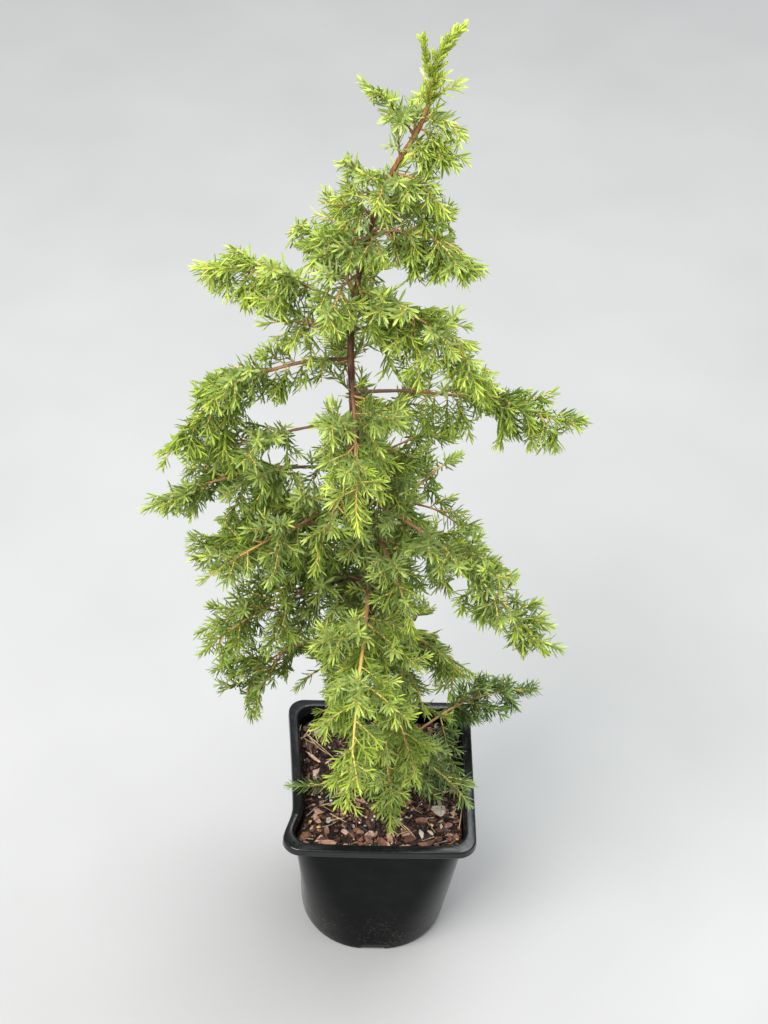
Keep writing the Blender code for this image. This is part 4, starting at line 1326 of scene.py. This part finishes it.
LEADER_FOOT = 0.719
TWIN_FOOT = 0.732
TWIN_TIP = Vector((-0.0012, 0.003, 0.7620))
LEADER_TWIGS = (  # height, direction, length in mm
    (0.727, (0.86, -0.1, 0.45), 17),
    (0.724, (-0.7, -0.3, 0.6), 9),
    (0.735, (0.7, -0.4, 0.7), 9),
    (0.731, (-0.6, 0.5, 0.7), 9),
)


def grow_leader(spray):
    """The leader's end: a thick column of stubs with short pressed needles, and a second, thinner tip."""
    leader = [trunk_point(LEADER_FOOT + (PLANT_TOP - LEADER_FOOT) * i / 40) for i in range(41)]
    points, places = spaced(leader, 1.5 * MM)
    radii = np.array([trunk_radius(p[2]) for p in points])
    spray.add_needles(points, places, radii, 1 * MM, 0.6, 0.6, pitch=0.5)
    stub_row(spray, [Vector(p) for p in points], 3 * MM, 1.4 * MM, (9 * MM, 4.5 * MM), 0.8)
    to_tip = TWIN_TIP - trunk_point(TWIN_FOOT)
    twin = curved_path(trunk_point(TWIN_FOOT), to_tip.normalized(), to_tip.length, -0.05)
    points = spray.column(twin, 1.3 * MM, 0.8 * MM, 5, 3 * MM, 0.5, 0.5, 0.5)
    stub_row(spray, points, 6 * MM, 2.2 * MM, (6.5 * MM, 5 * MM), 0.5)
    for height, way, reach in LEADER_TWIGS:
        path = curved_path(trunk_point(height), Vector(way).normalized(), reach * MM, -0.1)
        spray.twig(path, 0.5 * MM, 4.6, 3 * MM)


def stub_row(spray, path, first, pitch, reaches, slant):
    """Short upright stubs up a tip. reaches are the first one's length and that of one at its end."""
    chance = spray.chance
    length = (len(path) - 1) * (path[1] - path[0]).length
    distance, roll = first, chance.uniform(0, 360)
    while distance < length - 2 * MM:
        share = (distance - first) / (length - first)
        reach = (reaches[0] + (reaches[1] - reaches[0]) * share) * chance.uniform(0.75, 1.1)
        origin, along = walk(path, distance)
        outward = Quaternion(along, radians(roll)) @ along.orthogonal().normalized()
        stub = curved_path(origin, (along + slant * outward).normalized(), reach, -0.1)
        spray.column(stub, 1.7 * MM, 1.2 * MM, 6, 1 * MM, 0.45, 0.32, 0.6)
        roll += GOLDEN_TURN
        distance += pitch * chance.uniform(0.85, 1.15)


def grow_dry_stubs(spray):
    """Dead pale stubs on the trunk where it shows, and a knot near its top."""
    chance = spray.chance
    ranges = ((0.415, 0.575), (190, 350), (3, 8))
    stubs = [[chance.uniform(*limits) for limits in ranges] for _ in range(DRY_STUBS)]
    for height, heading, length in stubs + [(0.7035, 285, 3), (0.640, 250, 4)]:
        way = aimed(heading, chance.uniform(10, 50))
        path = curved_path(trunk_point(height), way, trunk_radius(height) + length * MM, 0)
        radii = np.linspace(0.75, 0.3, len(path)) * (0.5 + 1.2 / length) * MM
        spray.twigs.add(*tube(path, radii, TWIG_SIDES), chance.choice((3, 4, 4)))


def grow_trunk_shoots(spray):
    """Small shoots that stand straight on the trunk, fewer where it shows."""
    chance = spray.chance
    height, heading = 0.165, 20.0
    while height < 0.70:
        bare = BARE_TRUNK[0] < height < BARE_TRUNK[1]
        front = 200 < heading % 360 < 340
        if not front or not (bare or height > 0.60 or height < 0.26):
            length = chance.uniform(10, 34) * MM * (1 - 0.4 * (height > 0.6)) * (0.6 if bare else 1)
            if height < DENSE_TRUNK:
                length = chance.uniform(20, 46) * MM
            way = aimed(heading, chance.uniform(15, 50))
            path = curved_path(trunk_point(height), way, length + trunk_radius(height), 0.5)
            if clear_path(path[1:]):
                spray.twig(path, 0.6 * MM, 2.4 + 1.5 * height, trunk_radius(height) + 3 * MM)
                if length > 18 * MM:
                    spray.finer_twigs(path, length, 0.5 * MM, 3)
        height += TRUNK_SHOOT_PITCH * chance.uniform(0.6, 1.4) * (0.65 if height < DENSE_TRUNK else 1)
        heading += GOLDEN_TURN


# ---- floor, light and camera ----

FLOOR_REACH = 6.0
AIM = Vector((0, 0, 0.35))
PHOTO_FOCAL, PHOTO_HEIGHT = 1859.8, 1024  # in the photograph's own points
SENSOR = 36


def add_area(name, place, size, power, colour=(1, 1, 1)):
    light = bpy.data.lights.new(name, "AREA")
    light.shape = "RECTANGLE"
    light.size = light.size_y = size
    light.energy = power
    light.color = colour
    lamp = place_object(name, light)
    lamp.location = place
    lamp.rotation_euler = (AIM - Vector(place)).to_track_quat("-Z", "Y").to_euler()


def make_studio():
    mesh = bpy.data.meshes.new("studio_floor")
    corners = [(x * FLOOR_REACH, y * FLOOR_REACH, 0) for x, y in ((-1, -1), (1, -1), (1, 1), (-1, 1))]
    mesh.from_pydata(corners, [], [(0, 1, 2, 3)])
    look = Shading("pale_floor", 0.2, 0.8)
    tone = look.ramp(look.noise(5, 2), (0.3, (0.40, 0.40, 0.395)), (0.7, (0.43, 0.43, 0.425)))
    mesh.materials.append(look.finish(Base_Color=tone))
    place_object("studio_floor", mesh)
    world = bpy.data.worlds.new("studio")
    bpy.context.scene.world = world
    world.use_nodes = True
    background = world.node_tree.nodes["Background"]
    background.inputs["Color"].default_value = (0.86, 0.90, 0.95, 1)
    background.inputs["Strength"].default_value = 0.58
    add_area("key", (-0.9, -0.9, 2.1), 1.2, 58, (1.0, 0.98, 0.95))
    add_area("top", (0.3, 0.4, 2.3), 1.6, 54, (0.97, 0.99, 1.0))
    add_area("fill", (1.7, -0.9, 1.1), 1.2, 7)


def make_camera():
    """Looks down on the plant from EYE as the photograph does: 44 degrees, with a slight roll and turn."""
    data = bpy.data.cameras.new("camera")
    data.lens = SENSOR * PHOTO_FOCAL / PHOTO_HEIGHT
    data.sensor_width = SENSOR
    data.clip_start = 0.01
    camera = place_object("camera", data)
    view = Matrix.Translation(EYE)
    for angle, axis in ((-2.602, "Z"), (90 - 44.45, "X"), (3.16, "Z")):
        view = view @ Matrix.Rotation(radians(angle), 4, axis)
    camera.matrix_world = view
    bpy.context.scene.camera = camera


make_pot()
make_mix_bed()
make_loose_bits()
grow_plant()
make_studio()
make_camera()
bpy.context.scene.view_settings.view_transform = "Standard"
